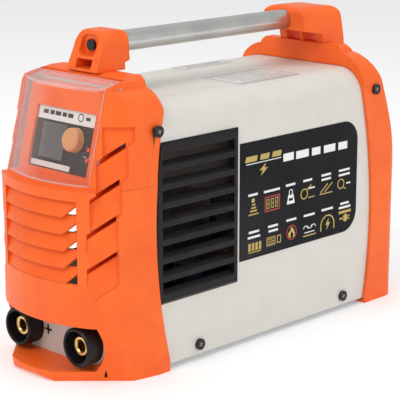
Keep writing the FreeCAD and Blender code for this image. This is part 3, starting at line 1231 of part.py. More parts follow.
def power_parts():
    """Heat sinks with their semiconductors, the capacitors, transformer, choke and busbars."""
    finned_block("inverter_heatsink", ("-58", "-60", "32"), ("-22", "38", "104"), 13)
    finned_block("rectifier_heatsink", ("-58", "46", "32"), ("-22", "104", "88"), 9)
    switches = [box("transistor_%d" % n, ("-22", "%d" % y, "34"), ("-17", "%d" % (y + 16), "55"))
                for n, y in enumerate((-56, -32, -8, 16))]
    node("power_transistors", group("transistor_set", switches))
    diodes = [box("diode_%d" % n, ("-22", "%d" % y, "34"), ("-17", "%d" % (y + 14), "53"))
              for n, y in enumerate((49, 68, 87))]
    node("output_diodes", group("diode_set", diodes))
    cans = [rod("capacitor_%d" % n, "z", ("%d" % x, "%d" % y, BOARD_TOP), "12.5", "46")
            for n, (x, y) in enumerate(((11, -48), (38, -48), (11, -21), (38, -21)))]
    node("bulk_capacitors", group("capacitor_set", cans))
    node("input_bridge", box("bridge_block", ("4", "-4", BOARD_TOP), ("32", "4", "%s + 26" % BOARD_TOP)))
    core_block = box("core_block", ("-6", "22", BOARD_TOP), ("46", "58", "%s + 52" % BOARD_TOP))
    core_windows = [box("core_window_%d" % n, (a, "10", "%s + 9" % BOARD_TOP), (b, "70",
                                                                                "%s + 43" % BOARD_TOP))
                    for n, (a, b) in enumerate((("1", "12.5"), ("27.5", "39")))]
    node("transformer_core", cut("transformer_core_whole", core_block, core_windows))
    coil = fillet("coil_round", box("coil_block", ("2", "13", "%s + 10" % BOARD_TOP), ("38", "67",
                                                                                       "%s + 42" % BOARD_TOP)),
                  "10", lambda edge: is_along(edge, Z_WAY))
    leg = box("coil_leg_space", ("12.4", "21.9", "20"), ("27.6", "58.1", "90"))
    node("transformer_winding", cut("transformer_winding_whole", coil, [leg]))
    choke = doc.addObject("Part::Torus", "choke_ring")
    bind(choke, "Radius1", "18")
    bind(choke, "Radius2", "9")
    place(choke, "16", "96", "%s + 27.2" % BOARD_TOP, axis=Vector(0, 1, 0), angle=90)
    node("output_choke", choke)
    for side, word in ((-1, "positive"), (1, "negative")):
        x = "%d * socket_pitch / 2" % side
        tab = box("bar_tab_" + word, ("%s - 7" % x, "-131.5", "socket_high - 8"), ("%s + 7" % x, "-127.7",
                                                                                   "socket_high + 12"))
        run = box("bar_run_" + word, ("%s - 7" % x, "-131.5", "socket_high + 9"), ("%s + 7" % x, "-62",
                                                                                   "socket_high + 12"))
        foot = box("bar_foot_" + word, ("%s - 7" % x, "-65", BOARD_TOP), ("%s + 7" % x, "-62",
                                                                          "socket_high + 12"))
        bore = rod("bar_bore_" + word, "y", (x, "-140", "socket_high"), "4.1", "20")
        node("busbar_" + word, cut("busbar_whole_" + word, fuse("busbar_solid_" + word, [tab, run, foot]),
                                   [bore]))


# ------------------------------------------------------------------ fasteners
def screw_pair(name, side, y, z, seat, head, shank, length):
    """Round-headed screw in one flank; the head sits on a seat at a distance from the middle."""
    if side > 0:
        top = rod(name + "_head", "x", (seat, y, z), head, "2.2")
        pin = rod(name + "_shank", "x", ("(%s) - %s" % (seat, length), y, z), shank, "%s + 1" % length)
    else:
        top = rod(name + "_head", "x", ("-(%s) - 2.2" % seat, y, z), head, "2.2")
        pin = rod(name + "_shank", "x", ("-(%s) - 1" % seat, y, z), shank, "%s + 1" % length)
    return fuse(name, [top, pin])


def fasteners():
    """Cover screws near the floor and bezel screws on the shoulders."""
    low = [screw_pair("cover_screw_%d_%d" % (side, n), side, y, "13", "cover_half + 0.05", "4.6", "1.5", "8")
           for side in (-1, 1) for n, y in enumerate(COVER_SCREWS)]
    node("cover_screws", group("cover_screw_set", low))
    high = [screw_pair("bezel_screw_%d_%d" % (side, n), side, y, z, BEZEL_HALF + " + 0.05", "4.6", "1.9", "9")
            for side in (-1, 1) for n, (y, z) in enumerate((("-114", "193"), ("138.8 + 8", "192.8")))]
    node("bezel_screws", group("bezel_screw_set", high))
    shank = rod("handle_screw_shank", "y", ("0", "-(tube_front + 1.6)", "tube_high"), "2.5", "8")
    head = rod("handle_screw_head", "y", ("0", "-(post_rear + 22.5) - 2.6", "tube_high"), "4.4", "2.5")
    node("handle_screw", fuse("handle_screw_whole", [shank, head]))


# ------------------------------------------------------------------ build, check and write
def build():
    """Build every sub-part."""
    for job in (front_bezel, rear_bezel, cover, chassis, side_grille, side_label, handle, sockets,
                control_panel,
                flip_lid, fan, power_switch, cable_gland, boards, power_parts, fasteners):
        job()
    doc.recompute()


def check():
    """Stop on any failed object or any sub-part that is not a sound solid."""
    for item in doc.Objects:
        if any(word in ("Invalid", "Error") for word in item.State):
            raise RuntimeError("failed object: %s %s" % (item.Name, item.State))
    for label, item in NODES.items():
        shape = item.Shape
        if shape.isNull() or not shape.isValid() or not shape.Solids:
            raise RuntimeError("unsound sub-part: " + label)


def write():
    """Write one STEP file per sub-part."""
    os.makedirs("parts", exist_ok=True)
    for label, item in NODES.items():
        item.Shape.exportStep(os.path.join("parts", label + ".step"))


build()
check()
write()
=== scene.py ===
"""Studio scene of a stick welding inverter, dressed over its CAD frame."""

import logging
import math
from dataclasses import dataclass, field
from enum import Enum
from typing import Dict, List, Sequence, Tuple, Union

import bpy
from mathutils import Matrix, Vector


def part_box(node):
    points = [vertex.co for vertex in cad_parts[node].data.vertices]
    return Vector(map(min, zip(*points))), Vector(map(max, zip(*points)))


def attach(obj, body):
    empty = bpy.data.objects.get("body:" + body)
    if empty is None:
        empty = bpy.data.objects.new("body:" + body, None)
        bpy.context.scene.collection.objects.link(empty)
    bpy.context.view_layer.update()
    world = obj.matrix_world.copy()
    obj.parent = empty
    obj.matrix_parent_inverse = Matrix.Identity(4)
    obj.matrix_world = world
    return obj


LOG = logging.getLogger("inverter")
Colour = Tuple[float, float, float, float]
Point = Tuple[float, float, float]
Tree = bpy.types.NodeTree
Node = bpy.types.Node
Socket = bpy.types.NodeSocket
Value = Union[float, Socket]
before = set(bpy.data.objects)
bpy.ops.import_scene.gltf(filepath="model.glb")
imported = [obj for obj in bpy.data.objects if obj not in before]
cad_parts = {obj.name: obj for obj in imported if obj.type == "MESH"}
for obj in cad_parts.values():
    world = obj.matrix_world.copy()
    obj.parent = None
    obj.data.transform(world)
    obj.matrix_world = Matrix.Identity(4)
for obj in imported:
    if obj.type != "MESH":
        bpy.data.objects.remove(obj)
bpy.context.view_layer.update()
MM = 0.001
DUST_COLOUR: Colour = (0.62, 0.58, 0.52, 1.0)
DUST_ROUGHNESS = 0.4
BUMP_DEPTH = 0.0002
EDGE_SAMPLES = 4
DRIFT_SCALE = 28.0
COLOUR_SCALE = 34.0
WEAR_SCALE = 160.0
DUST_SCALE = 55.0
DOT_SCALE = 420.0
DISC_SIDES = 28
RING_SIDES = 40


class Body(Enum):
    """Names of the moving bodies of the frame."""
    CASING = "casing"
    LID = "lid"


class Ink(Enum):
    """Printing inks used on labels and marks."""
    WHITE = "white"
    GOLD = "gold"
    RED = "red"
    BLACK = "black"
    GREY = "grey"


# ------------------------------------------------------------------ shader groups
def new_group(name: str, inputs: Sequence[Tuple[str, str, object]],
              outputs: Sequence[Tuple[str, str]]) -> Tuple[Tree, Node, Node]:
    """Make an empty shader group.

    Args:
        name: group name.
        inputs: triples of socket name, socket type and default.
        outputs: pairs of socket name and socket type.

    Returns:
        The tree with its input and output nodes.
    """
    tree = bpy.data.node_groups.new(name, "ShaderNodeTree")
    for label, kind, default in inputs:
        socket = tree.interface.new_socket(name=label, in_out="INPUT", socket_type=kind)
        socket.default_value = default
    for label, kind in outputs:
        tree.interface.new_socket(name=label, in_out="OUTPUT", socket_type=kind)
    return tree, tree.nodes.new("NodeGroupInput"), tree.nodes.new("NodeGroupOutput")


def object_coordinates(tree: Tree) -> Socket:
    """Return the object coordinate socket of a tree."""
    return tree.nodes.new("ShaderNodeTexCoord").outputs["Object"]


def add_math(tree: Tree, operation: str, first: Value, second: Value) -> Socket:
    """Add a math node.

    Args:
        tree: node tree.
        operation: name of the operation.
        first: socket or number.
        second: socket or number.

    Returns:
        The value socket.
    """
    item = tree.nodes.new("ShaderNodeMath")
    item.operation = operation
    for index, value in enumerate((first, second)):
        if isinstance(value, (int, float)):
            item.inputs[index].default_value = value
        else:
            tree.links.new(value, item.inputs[index])
    return item.outputs[0]


def add_noise(tree: Tree, coordinates: Socket, scale: Value, detail: float = 4.0,
              rough: float = 0.6) -> Socket:
    """Add a noise texture.

    Args:
        tree: node tree.
        coordinates: vector socket the noise is laid on.
        scale: socket or number.
        detail: number of octaves.
        rough: weight of the finer octaves.

    Returns:
        The factor socket.
    """
    item = tree.nodes.new("ShaderNodeTexNoise")
    item.inputs["Detail"].default_value = detail
    item.inputs["Roughness"].default_value = rough
    tree.links.new(coordinates, item.inputs["Vector"])
    if isinstance(scale, (int, float)):
        item.inputs["Scale"].default_value = scale
    else:
        tree.links.new(scale, item.inputs["Scale"])
    return item.outputs["Fac"]


def add_range(tree: Tree, value: Socket, low: float, high: float, out_low: float, out_high: float) -> Socket:
    """Add a map range node.

    Args:
        tree: node tree.
        value: socket to map.
        low: value that gives out_low.
        high: value that gives out_high.
        out_low: first result.
        out_high: last result.

    Returns:
        The result socket.
    """
    item = tree.nodes.new("ShaderNodeMapRange")
    for name, number in (("From Min", low), ("From Max", high), ("To Min", out_low), ("To Max", out_high)):
        item.inputs[name].default_value = number
    tree.links.new(value, item.inputs["Value"])
    return item.outputs["Result"]


def make_grain_group() -> Tree:
    """Shared grain: a fine height field and a slow roughness drift.

    Returns:
        The group's tree.
    """
    tree, entry, leave = new_group("surface_grain", [("Scale", "NodeSocketFloat", 900.0)],
                                   [("Height", "NodeSocketFloat"), ("Drift", "NodeSocketFloat")])
    place = object_coordinates(tree)
    fine = add_noise(tree, place, entry.outputs["Scale"], 3.0)
    slow = add_noise(tree, place, DRIFT_SCALE, 4.0)
    tree.links.new(fine, leave.inputs["Height"])
    tree.links.new(add_range(tree, slow, 0.3, 0.7, -0.05, 0.07), leave.inputs["Drift"])
    return tree


def make_wear_group() -> Tree:
    """Shared edge wear: a mask that is bright along rubbed outer edges.

    Returns:
        The group's tree.
    """
    tree, entry, leave = new_group("edge_wear", [("Width", "NodeSocketFloat", 0.0009)],
                                   [("Mask", "NodeSocketFloat")])
    bevel = tree.nodes.new("ShaderNodeBevel")
    bevel.samples = EDGE_SAMPLES
    tree.links.new(entry.outputs["Width"], bevel.inputs["Radius"])
    geometry = tree.nodes.new("ShaderNodeNewGeometry")
    dot = tree.nodes.new("ShaderNodeVectorMath")
    dot.operation = "DOT_PRODUCT"
    tree.links.new(bevel.outputs["Normal"], dot.inputs[0])
    tree.links.new(geometry.outputs["Normal"], dot.inputs[1])
    edge = add_range(tree, dot.outputs["Value"], 0.985, 0.86, 0.0, 1.0)
    broken = add_range(tree, add_noise(tree, object_coordinates(tree), WEAR_SCALE), 0.48, 0.62, 0.0, 1.0)
    tree.links.new(add_math(tree, "MULTIPLY", edge, broken), leave.inputs["Mask"])
    return tree


def make_dust_group() -> Tree:
    """Shared dust: a mask that gathers on surfaces that face up.

    Returns:
        The group's tree.
    """
    tree, entry, leave = new_group("settled_dust", [("Amount", "NodeSocketFloat", 0.1)],
                                   [("Mask", "NodeSocketFloat")])
    geometry = tree.nodes.new("ShaderNodeNewGeometry")
    split = tree.nodes.new("ShaderNodeSeparateXYZ")
    tree.links.new(geometry.outputs["Normal"], split.inputs[0])
    up = add_range(tree, split.outputs["Z"], 0.6, 1.0, 0.0, 1.0)
    patch = add_range(tree, add_noise(tree, object_coordinates(tree), DUST_SCALE), 0.42, 0.66, 0.15, 1.0)
    mask = add_math(tree, "MULTIPLY", add_math(tree, "MULTIPLY", up, patch), entry.outputs["Amount"])
    tree.links.new(mask, leave.inputs["Mask"])
    return tree


GROUPS: Dict[str, bpy.types.NodeTree] = {}


# ------------------------------------------------------------------ finishes
@dataclass(frozen=True)
class Finish:
    """A surface finish built from shared grain, wear and dust.

    Args:
        name: material name.
        colour: main colour.
        drift: second colour that the main one drifts to.
        worn: colour at rubbed edges.
        rough: roughness.
        metal: metallic amount.
        coat: clear coat weight.
        grain: grain frequency per metre.
        bump: bump strength.
        wear: amount of edge wear.
        dust: amount of settled dust.
        soften: radius of the softened edges in metres.
        gloss: specular level.
    """
    name: str
    colour: Colour
    drift: Colour
    worn: Colour = (0.6, 0.6, 0.6, 1.0)
    rough: float = 0.45
    metal: float = 0.0
    coat: float = 0.0
    grain: float = 900.0
    bump: float = 0.05
    wear: float = 0.12
    dust: float = 0.06
    soften: float = 0.0006
    gloss: float = 0.5

    def colour_socket(self, tree: Tree, place: Socket) -> Socket:
        """Mix the main colour with its drift.

        Args:
            tree: node tree.
            place: object coordinates.

        Returns:
            The colour socket.
        """
        mix = tree.nodes.new("ShaderNodeMix")
        mix.data_type = "RGBA"
        mix.inputs["A"].default_value = self.colour
        mix.inputs["B"].default_value = self.drift
        factor = add_range(tree, add_noise(tree, place, COLOUR_SCALE), 0.35, 0.7, 0.0, 1.0)
        tree.links.new(factor, mix.inputs["Factor"])
        return mix.outputs["Result"]

    def height_socket(self, tree: Tree, grain: Node, place: Socket) -> Socket:
        """Return the socket that drives the bump."""
        return grain.outputs["Height"]

    def build(self) -> bpy.types.Material:
        """Make the material.

        Returns:
            The material.
        """
        material = bpy.data.materials.new(self.name)
        material.use_nodes = True
        tree = material.node_tree
        shader = tree.nodes["Principled BSDF"]
        place = object_coordinates(tree)
        grain = tree.nodes.new("ShaderNodeGroup")
        grain.node_tree = GROUPS["grain"]
        grain.inputs["Scale"].default_value = self.grain
        wear = tree.nodes.new("ShaderNodeGroup")
        wear.node_tree = GROUPS["wear"]
        dust = tree.nodes.new("ShaderNodeGroup")
        dust.node_tree = GROUPS["dust"]
        dust.inputs["Amount"].default_value = self.dust
        worn = tree.nodes.new("ShaderNodeMix")
        worn.data_type = "RGBA"
        worn.inputs["B"].default_value = self.worn
        tree.links.new(self.colour_socket(tree, place), worn.inputs["A"])
        tree.links.new(add_math(tree, "MULTIPLY", wear.outputs["Mask"], self.wear), worn.inputs["Factor"])
        dusty = tree.nodes.new("ShaderNodeMix")
        dusty.data_type = "RGBA"
        dusty.inputs["B"].default_value = DUST_COLOUR
        tree.links.new(worn.outputs["Result"], dusty.inputs["A"])
        tree.links.new(dust.outputs["Mask"], dusty.inputs["Factor"])
        tree.links.new(dusty.outputs["Result"], shader.inputs["Base Color"])
        rough = add_math(tree, "ADD", grain.outputs["Drift"], self.rough)
        rough = add_math(tree, "ADD", rough, add_math(tree, "MULTIPLY", dust.outputs["Mask"], DUST_ROUGHNESS))
        tree.links.new(rough, shader.inputs["Roughness"])
        shader.inputs["Metallic"].default_value = self.metal
        shader.inputs["Coat Weight"].default_value = self.coat
        shader.inputs["Specular IOR Level"].default_value = self.gloss
        bevel = tree.nodes.new("ShaderNodeBevel")
        bevel.samples = EDGE_SAMPLES
        bevel.inputs["Radius"].default_value = self.soften
        bump = tree.nodes.new("ShaderNodeBump")
        bump.inputs["Strength"].default_value = self.bump
        bump.inputs["Distance"].default_value = BUMP_DEPTH
        tree.links.new(bevel.outputs["Normal"], bump.inputs["Normal"])
        tree.links.new(self.height_socket(tree, grain, place), bump.inputs["Height"])
        tree.links.new(bump.outputs["Normal"], shader.inputs["Normal"])
        self.finish_shader(tree, shader)
        return material

    def finish_shader(self, tree: Tree, shader: Node) -> None:
        """Hook for finishes that set more of the shader."""


@dataclass(frozen=True)
class Brushed(Finish):
    """Metal with fine lines along one axis.

    Args:
        stretch: frequency of the lines along each axis, per metre.
    """
    stretch: Point = (900.0, 9.0, 900.0)

    def height_socket(self, tree: Tree, grain: Node, place: Socket) -> Socket:
        """Return stretched noise as the height.

        Args:
            tree: node tree.
            grain: grain group node.
            place: object coordinates.

        Returns:
            The height socket.
        """
        mapping = tree.nodes.new("ShaderNodeMapping")
        mapping.inputs["Scale"].default_value = self.stretch
        tree.links.new(place, mapping.inputs["Vector"])
        return add_noise(tree, mapping.outputs["Vector"], 1.0, 2.0)


@dataclass(frozen=True)
class DottedFilm(Finish):
    """Printed film: dark with a fading field of fine pale dots.

    Args:
        dot: colour of the dots.
    """
    dot: Colour = (0.16, 0.16, 0.17, 1.0)

    def colour_socket(self, tree: Tree, place: Socket) -> Socket:
        """Mix dots into the film's colour; they fade towards one end.

        Args:
            tree: node tree.
            place: object coordinates.

        Returns:
            The colour socket.
        """
        base = Finish.colour_socket(self, tree, place)
        cells = tree.nodes.new("ShaderNodeTexVoronoi")
        cells.inputs["Scale"].default_value = DOT_SCALE
        cells.inputs["Randomness"].default_value = 0.0
        tree.links.new(place, cells.inputs["Vector"])
        dots = add_range(tree, cells.outputs["Distance"], 0.42, 0.30, 0.0, 1.0)
        split = tree.nodes.new("ShaderNodeSeparateXYZ")
        tree.links.new(place, split.inputs[0])
        fade = add_range(tree, split.outputs["Y"], 0.05, -0.02, 0.0, 1.0)
        low = add_range(tree, split.outputs["Z"], 0.145, 0.075, 0.0, 1.0)
        factor = add_math(tree, "MULTIPLY", add_math(tree, "MULTIPLY", dots, fade), low)
        mix = tree.nodes.new("ShaderNodeMix")
        mix.data_type = "RGBA"
        mix.inputs["B"].default_value = self.dot
        tree.links.new(base, mix.inputs["A"])
        tree.links.new(factor, mix.inputs["Factor"])
        return mix.outputs["Result"]


@dataclass(frozen=True)
class Glowing(Finish):
    """A finish with a faint light of its own.

    Args:
        glow: colour of the light.
        power: strength of the light.
    """
    glow: Colour = (1.0, 0.1, 0.02, 1.0)
    power: float = 0.4

    def finish_shader(self, tree: Tree, shader: Node) -> None:
        """Set the emission."""
        shader.inputs["Emission Color"].default_value = self.glow
        shader.inputs["Emission Strength"].default_value = self.power


@dataclass(frozen=True)
class Clear(Finish):
    """Thin clear plastic: mostly see-through, with bright edges.

    Args:
        body: opacity seen square on.
        rim: opacity seen edge on.
    """
    body: float = 0.035
    rim: float = 0.50

    def finish_shader(self, tree: Tree, shader: Node) -> None:
        """Drive the opacity by the angle of view.

        Args:
            tree: node tree.
            shader: the principled shader.
        """
        facing = tree.nodes.new("ShaderNodeLayerWeight")
        facing.inputs["Blend"].default_value = 0.35
        alpha = add_range(tree, facing.outputs["Facing"], 0.25, 0.95, self.body, self.rim)
        tree.links.new(alpha, shader.inputs["Alpha"])


class Paints:
    """All materials of the scene, made once and shared."""

    def __init__(self) -> None:
        """Build the shared groups first, then every finish."""
        GROUPS["grain"] = make_grain_group()
        GROUPS["wear"] = make_wear_group()
        GROUPS["dust"] = make_dust_group()
        black = (0.012, 0.012, 0.014, 1.0)
        finishes: List[Finish] = [
            Finish("orange_moulding", (0.95, 0.145, 0.012, 1), (0.88, 0.115, 0.009, 1), (0.98, 0.30, 0.10, 1),
                   rough=0.40, grain=1500, bump=0.10, wear=0.30, dust=0.02, soften=0.0011, gloss=0.35),
            Finish("white_paint", (0.70, 0.675, 0.625, 1), (0.66, 0.635, 0.585, 1), (0.5, 0.5, 0.5, 1),
                   rough=0.38, grain=2600, bump=0.08),
            Finish("black_paint", black, (0.022, 0.022, 0.025, 1), (0.22, 0.22, 0.23, 1), rough=0.42,
                   grain=2200, bump=0.10, wear=0.25),
            Finish("black_plastic", (0.008, 0.007, 0.008, 1), (0.014, 0.012, 0.014, 1), (0.12, 0.12, 0.13, 1),
                   rough=0.42, coat=0.03, bump=0.04, wear=0.15, dust=0.0, gloss=0.18),
            DottedFilm("printed_film", (0.006, 0.006, 0.008, 1), (0.010, 0.010, 0.013, 1), rough=0.50,
                       bump=0.02, wear=0.0, soften=0.0003, gloss=0.12),
            Brushed("brushed_tube", (0.62, 0.62, 0.60, 1), (0.54, 0.54, 0.53, 1), rough=0.30, metal=1.0,
                    bump=0.12, wear=0.0),
            Finish("light_plastic", (0.62, 0.61, 0.56, 1), (0.55, 0.54, 0.50, 1), rough=0.45),
            Finish("light_strip", (0.80, 0.80, 0.76, 1), (0.72, 0.72, 0.68, 1), rough=0.40),
            Finish("brass", (0.86, 0.60, 0.24, 1), (0.74, 0.48, 0.17, 1), (0.95, 0.80, 0.5, 1), rough=0.24,
                   metal=1.0, bump=0.05, wear=0.4),
            Finish("dark_fascia", (0.016, 0.015, 0.016, 1), (0.026, 0.025, 0.026, 1), rough=0.40,
                   bump=0.05, gloss=0.3),
            Finish("smoked_window", (0.075, 0.080, 0.080, 1), (0.10, 0.105, 0.105, 1), rough=0.12, coat=0.6,
                   bump=0.01, wear=0.0),
            Glowing("lamp_lens", (0.65, 0.05, 0.02, 1), (0.55, 0.04, 0.02, 1), rough=0.2, power=0.35),
            Finish("steel_pin", (0.55, 0.55, 0.56, 1), (0.45, 0.45, 0.46, 1), rough=0.3, metal=1.0),
            Finish("chrome_wire", (0.72, 0.73, 0.74, 1), (0.60, 0.61, 0.62, 1), rough=0.16, metal=1.0),
            Finish("zinc_steel", (0.48, 0.49, 0.50, 1), (0.40, 0.41, 0.42, 1), rough=0.42, metal=1.0,
                   bump=0.1),
            Finish("black_screw", (0.020, 0.020, 0.022, 1), (0.035, 0.035, 0.037, 1), (0.4, 0.4, 0.4, 1),
                   rough=0.28, metal=0.7, wear=0.5),
            Finish("circuit_board", (0.012, 0.11, 0.035, 1), (0.010, 0.085, 0.03, 1), rough=0.4),
            Finish("aluminium", (0.70, 0.71, 0.72, 1), (0.60, 0.61, 0.62, 1), rough=0.36, metal=1.0),
            Finish("capacitor_sleeve", (0.015, 0.02, 0.05, 1), (0.02, 0.03, 0.06, 1), rough=0.3),
            Finish("ferrite", (0.03, 0.03, 0.032, 1), (0.045, 0.045, 0.047, 1), rough=0.6, bump=0.2),
            Finish("winding_tape", (0.62, 0.46, 0.08, 1), (0.55, 0.40, 0.06, 1), rough=0.4),
            Finish("copper", (0.80, 0.36, 0.18, 1), (0.70, 0.30, 0.14, 1), rough=0.3, metal=1.0),
            Clear("clear_plastic", (0.90, 0.74, 0.70, 1), (0.86, 0.70, 0.66, 1), rough=0.10, coat=0.2,
                  bump=0.01, wear=0.0, dust=0.0, soften=0.0008),
            # Pale pink, partly opaque finish of the lid's edge beads: a painted highlight of the light caught
            # on the clear lid's edges.
            Clear("painted_lid_highlight", (0.97, 0.72, 0.70, 1), (0.93, 0.66, 0.64, 1), rough=0.12, coat=0.3, bump=0.01,
                  wear=0.0, dust=0.0, soften=0.0002, body=0.30, rim=0.62),
            Finish("knob_plastic", (0.72, 0.33, 0.13, 1), (0.66, 0.29, 0.11, 1), (0.8, 0.4, 0.2, 1),
                   rough=0.4, bump=0.06),
            Finish("rocker_plastic", (0.30, 0.010, 0.008, 1), (0.24, 0.008, 0.006, 1), rough=0.3, coat=0.3),
            Finish("ink_white", (0.86, 0.86, 0.84, 1), (0.80, 0.80, 0.78, 1), rough=0.45, wear=0.0),
            Finish("ink_gold", (0.56, 0.42, 0.10, 1), (0.46, 0.34, 0.08, 1), rough=0.42, wear=0.0),
            Finish("ink_red", (0.42, 0.030, 0.020, 1), (0.34, 0.024, 0.018, 1), rough=0.45, wear=0.0),
            Finish("ink_black", (0.015, 0.015, 0.016, 1), (0.025, 0.025, 0.026, 1), rough=0.5, wear=0.0),
            Finish("ink_grey", (0.42, 0.42, 0.40, 1), (0.36, 0.36, 0.35, 1), rough=0.5, wear=0.0),
            Finish("sticker_film", (0.70, 0.69, 0.65, 1), (0.66, 0.65, 0.61, 1), rough=0.28, wear=0.0,
                   dust=0.03),
            Glowing("studio_floor", (0.88, 0.88, 0.88, 1), (0.86, 0.86, 0.86, 1), rough=0.7, bump=0.02,
                    wear=0.0, dust=0.0, gloss=0.15, glow=(1.0, 1.0, 1.0, 1.0), power=0.22),
        ]
        self.made: Dict[str, bpy.types.Material] = {item.name: item.build() for item in finishes}

    def get(self, name: str) -> bpy.types.Material:
        """Return a material by name."""
        return self.made[name]

    def dress(self, item: bpy.types.Object, name: str) -> None:
        """Give an object one material."""
        item.data.materials.clear()
        item.data.materials.append(self.get(name))


# ------------------------------------------------------------------ modelling helpers
def only(item: bpy.types.Object) -> None:
    """Select one object and make it active.

    Args:
        item: the object.
    """
    bpy.ops.object.select_all(action="DESELECT")
    item.select_set(True)
    bpy.context.view_layer.objects.active = item


def settle(item: bpy.types.Object) -> bpy.types.Object:
    """Apply the transform of an object.

    Args:
        item: the object.

    Returns:
        The same object.
    """
    only(item)
    bpy.ops.object.transform_apply(location=True, rotation=True, scale=True)
    return item


def apply_modifier(item: bpy.types.Object, kind: str, **settings: object) -> None:
    """Add a modifier and apply it.

    Args:
        item: the object.
        kind: type of the modifier.
        settings: values set on the modifier.
    """
    only(item)
    modifier = item.modifiers.new(kind.lower(), kind)
    for key, value in settings.items():
        setattr(modifier, key, value)
    bpy.ops.object.modifier_apply(modifier=modifier.name)


def join(pieces: List[bpy.types.Object], name: str) -> bpy.types.Object:
    """Join pieces into one object at the origin.

    Args:
        pieces: the objects.
        name: name of the result.

    Returns:
        The joined object.
    """
    bpy.ops.object.select_all(action="DESELECT")
    for piece in pieces:
        piece.select_set(True)
    bpy.context.view_layer.objects.active = pieces[0]
    if len(pieces) > 1:
        bpy.ops.object.join()
    item = bpy.context.view_layer.objects.active
    item.name = name
    item.data.name = name
    return settle(item)


@dataclass(frozen=True)
class Plane2:
    """A flat printing plane in space.

    Args:
        origin: point of the plane's (0, 0), in millimetres.
        right: unit direction of the first coordinate.
        up: unit direction of the second coordinate.
    """
    origin: Point
    right: Point
    up: Point

    def lay(self, item: bpy.types.Object) -> None:
        """Carry a mesh drawn flat in millimetres onto the plane.

        Args:
            item: the mesh.
        """
        right, up = Vector(self.right), Vector(self.up)
        axes = Matrix((right, up, right.cross(up))).transposed().to_4x4()
        item.matrix_world = Matrix.Translation(Vector(self.origin) * MM) @ axes @ Matrix.Scale(MM, 4)
        settle(item)


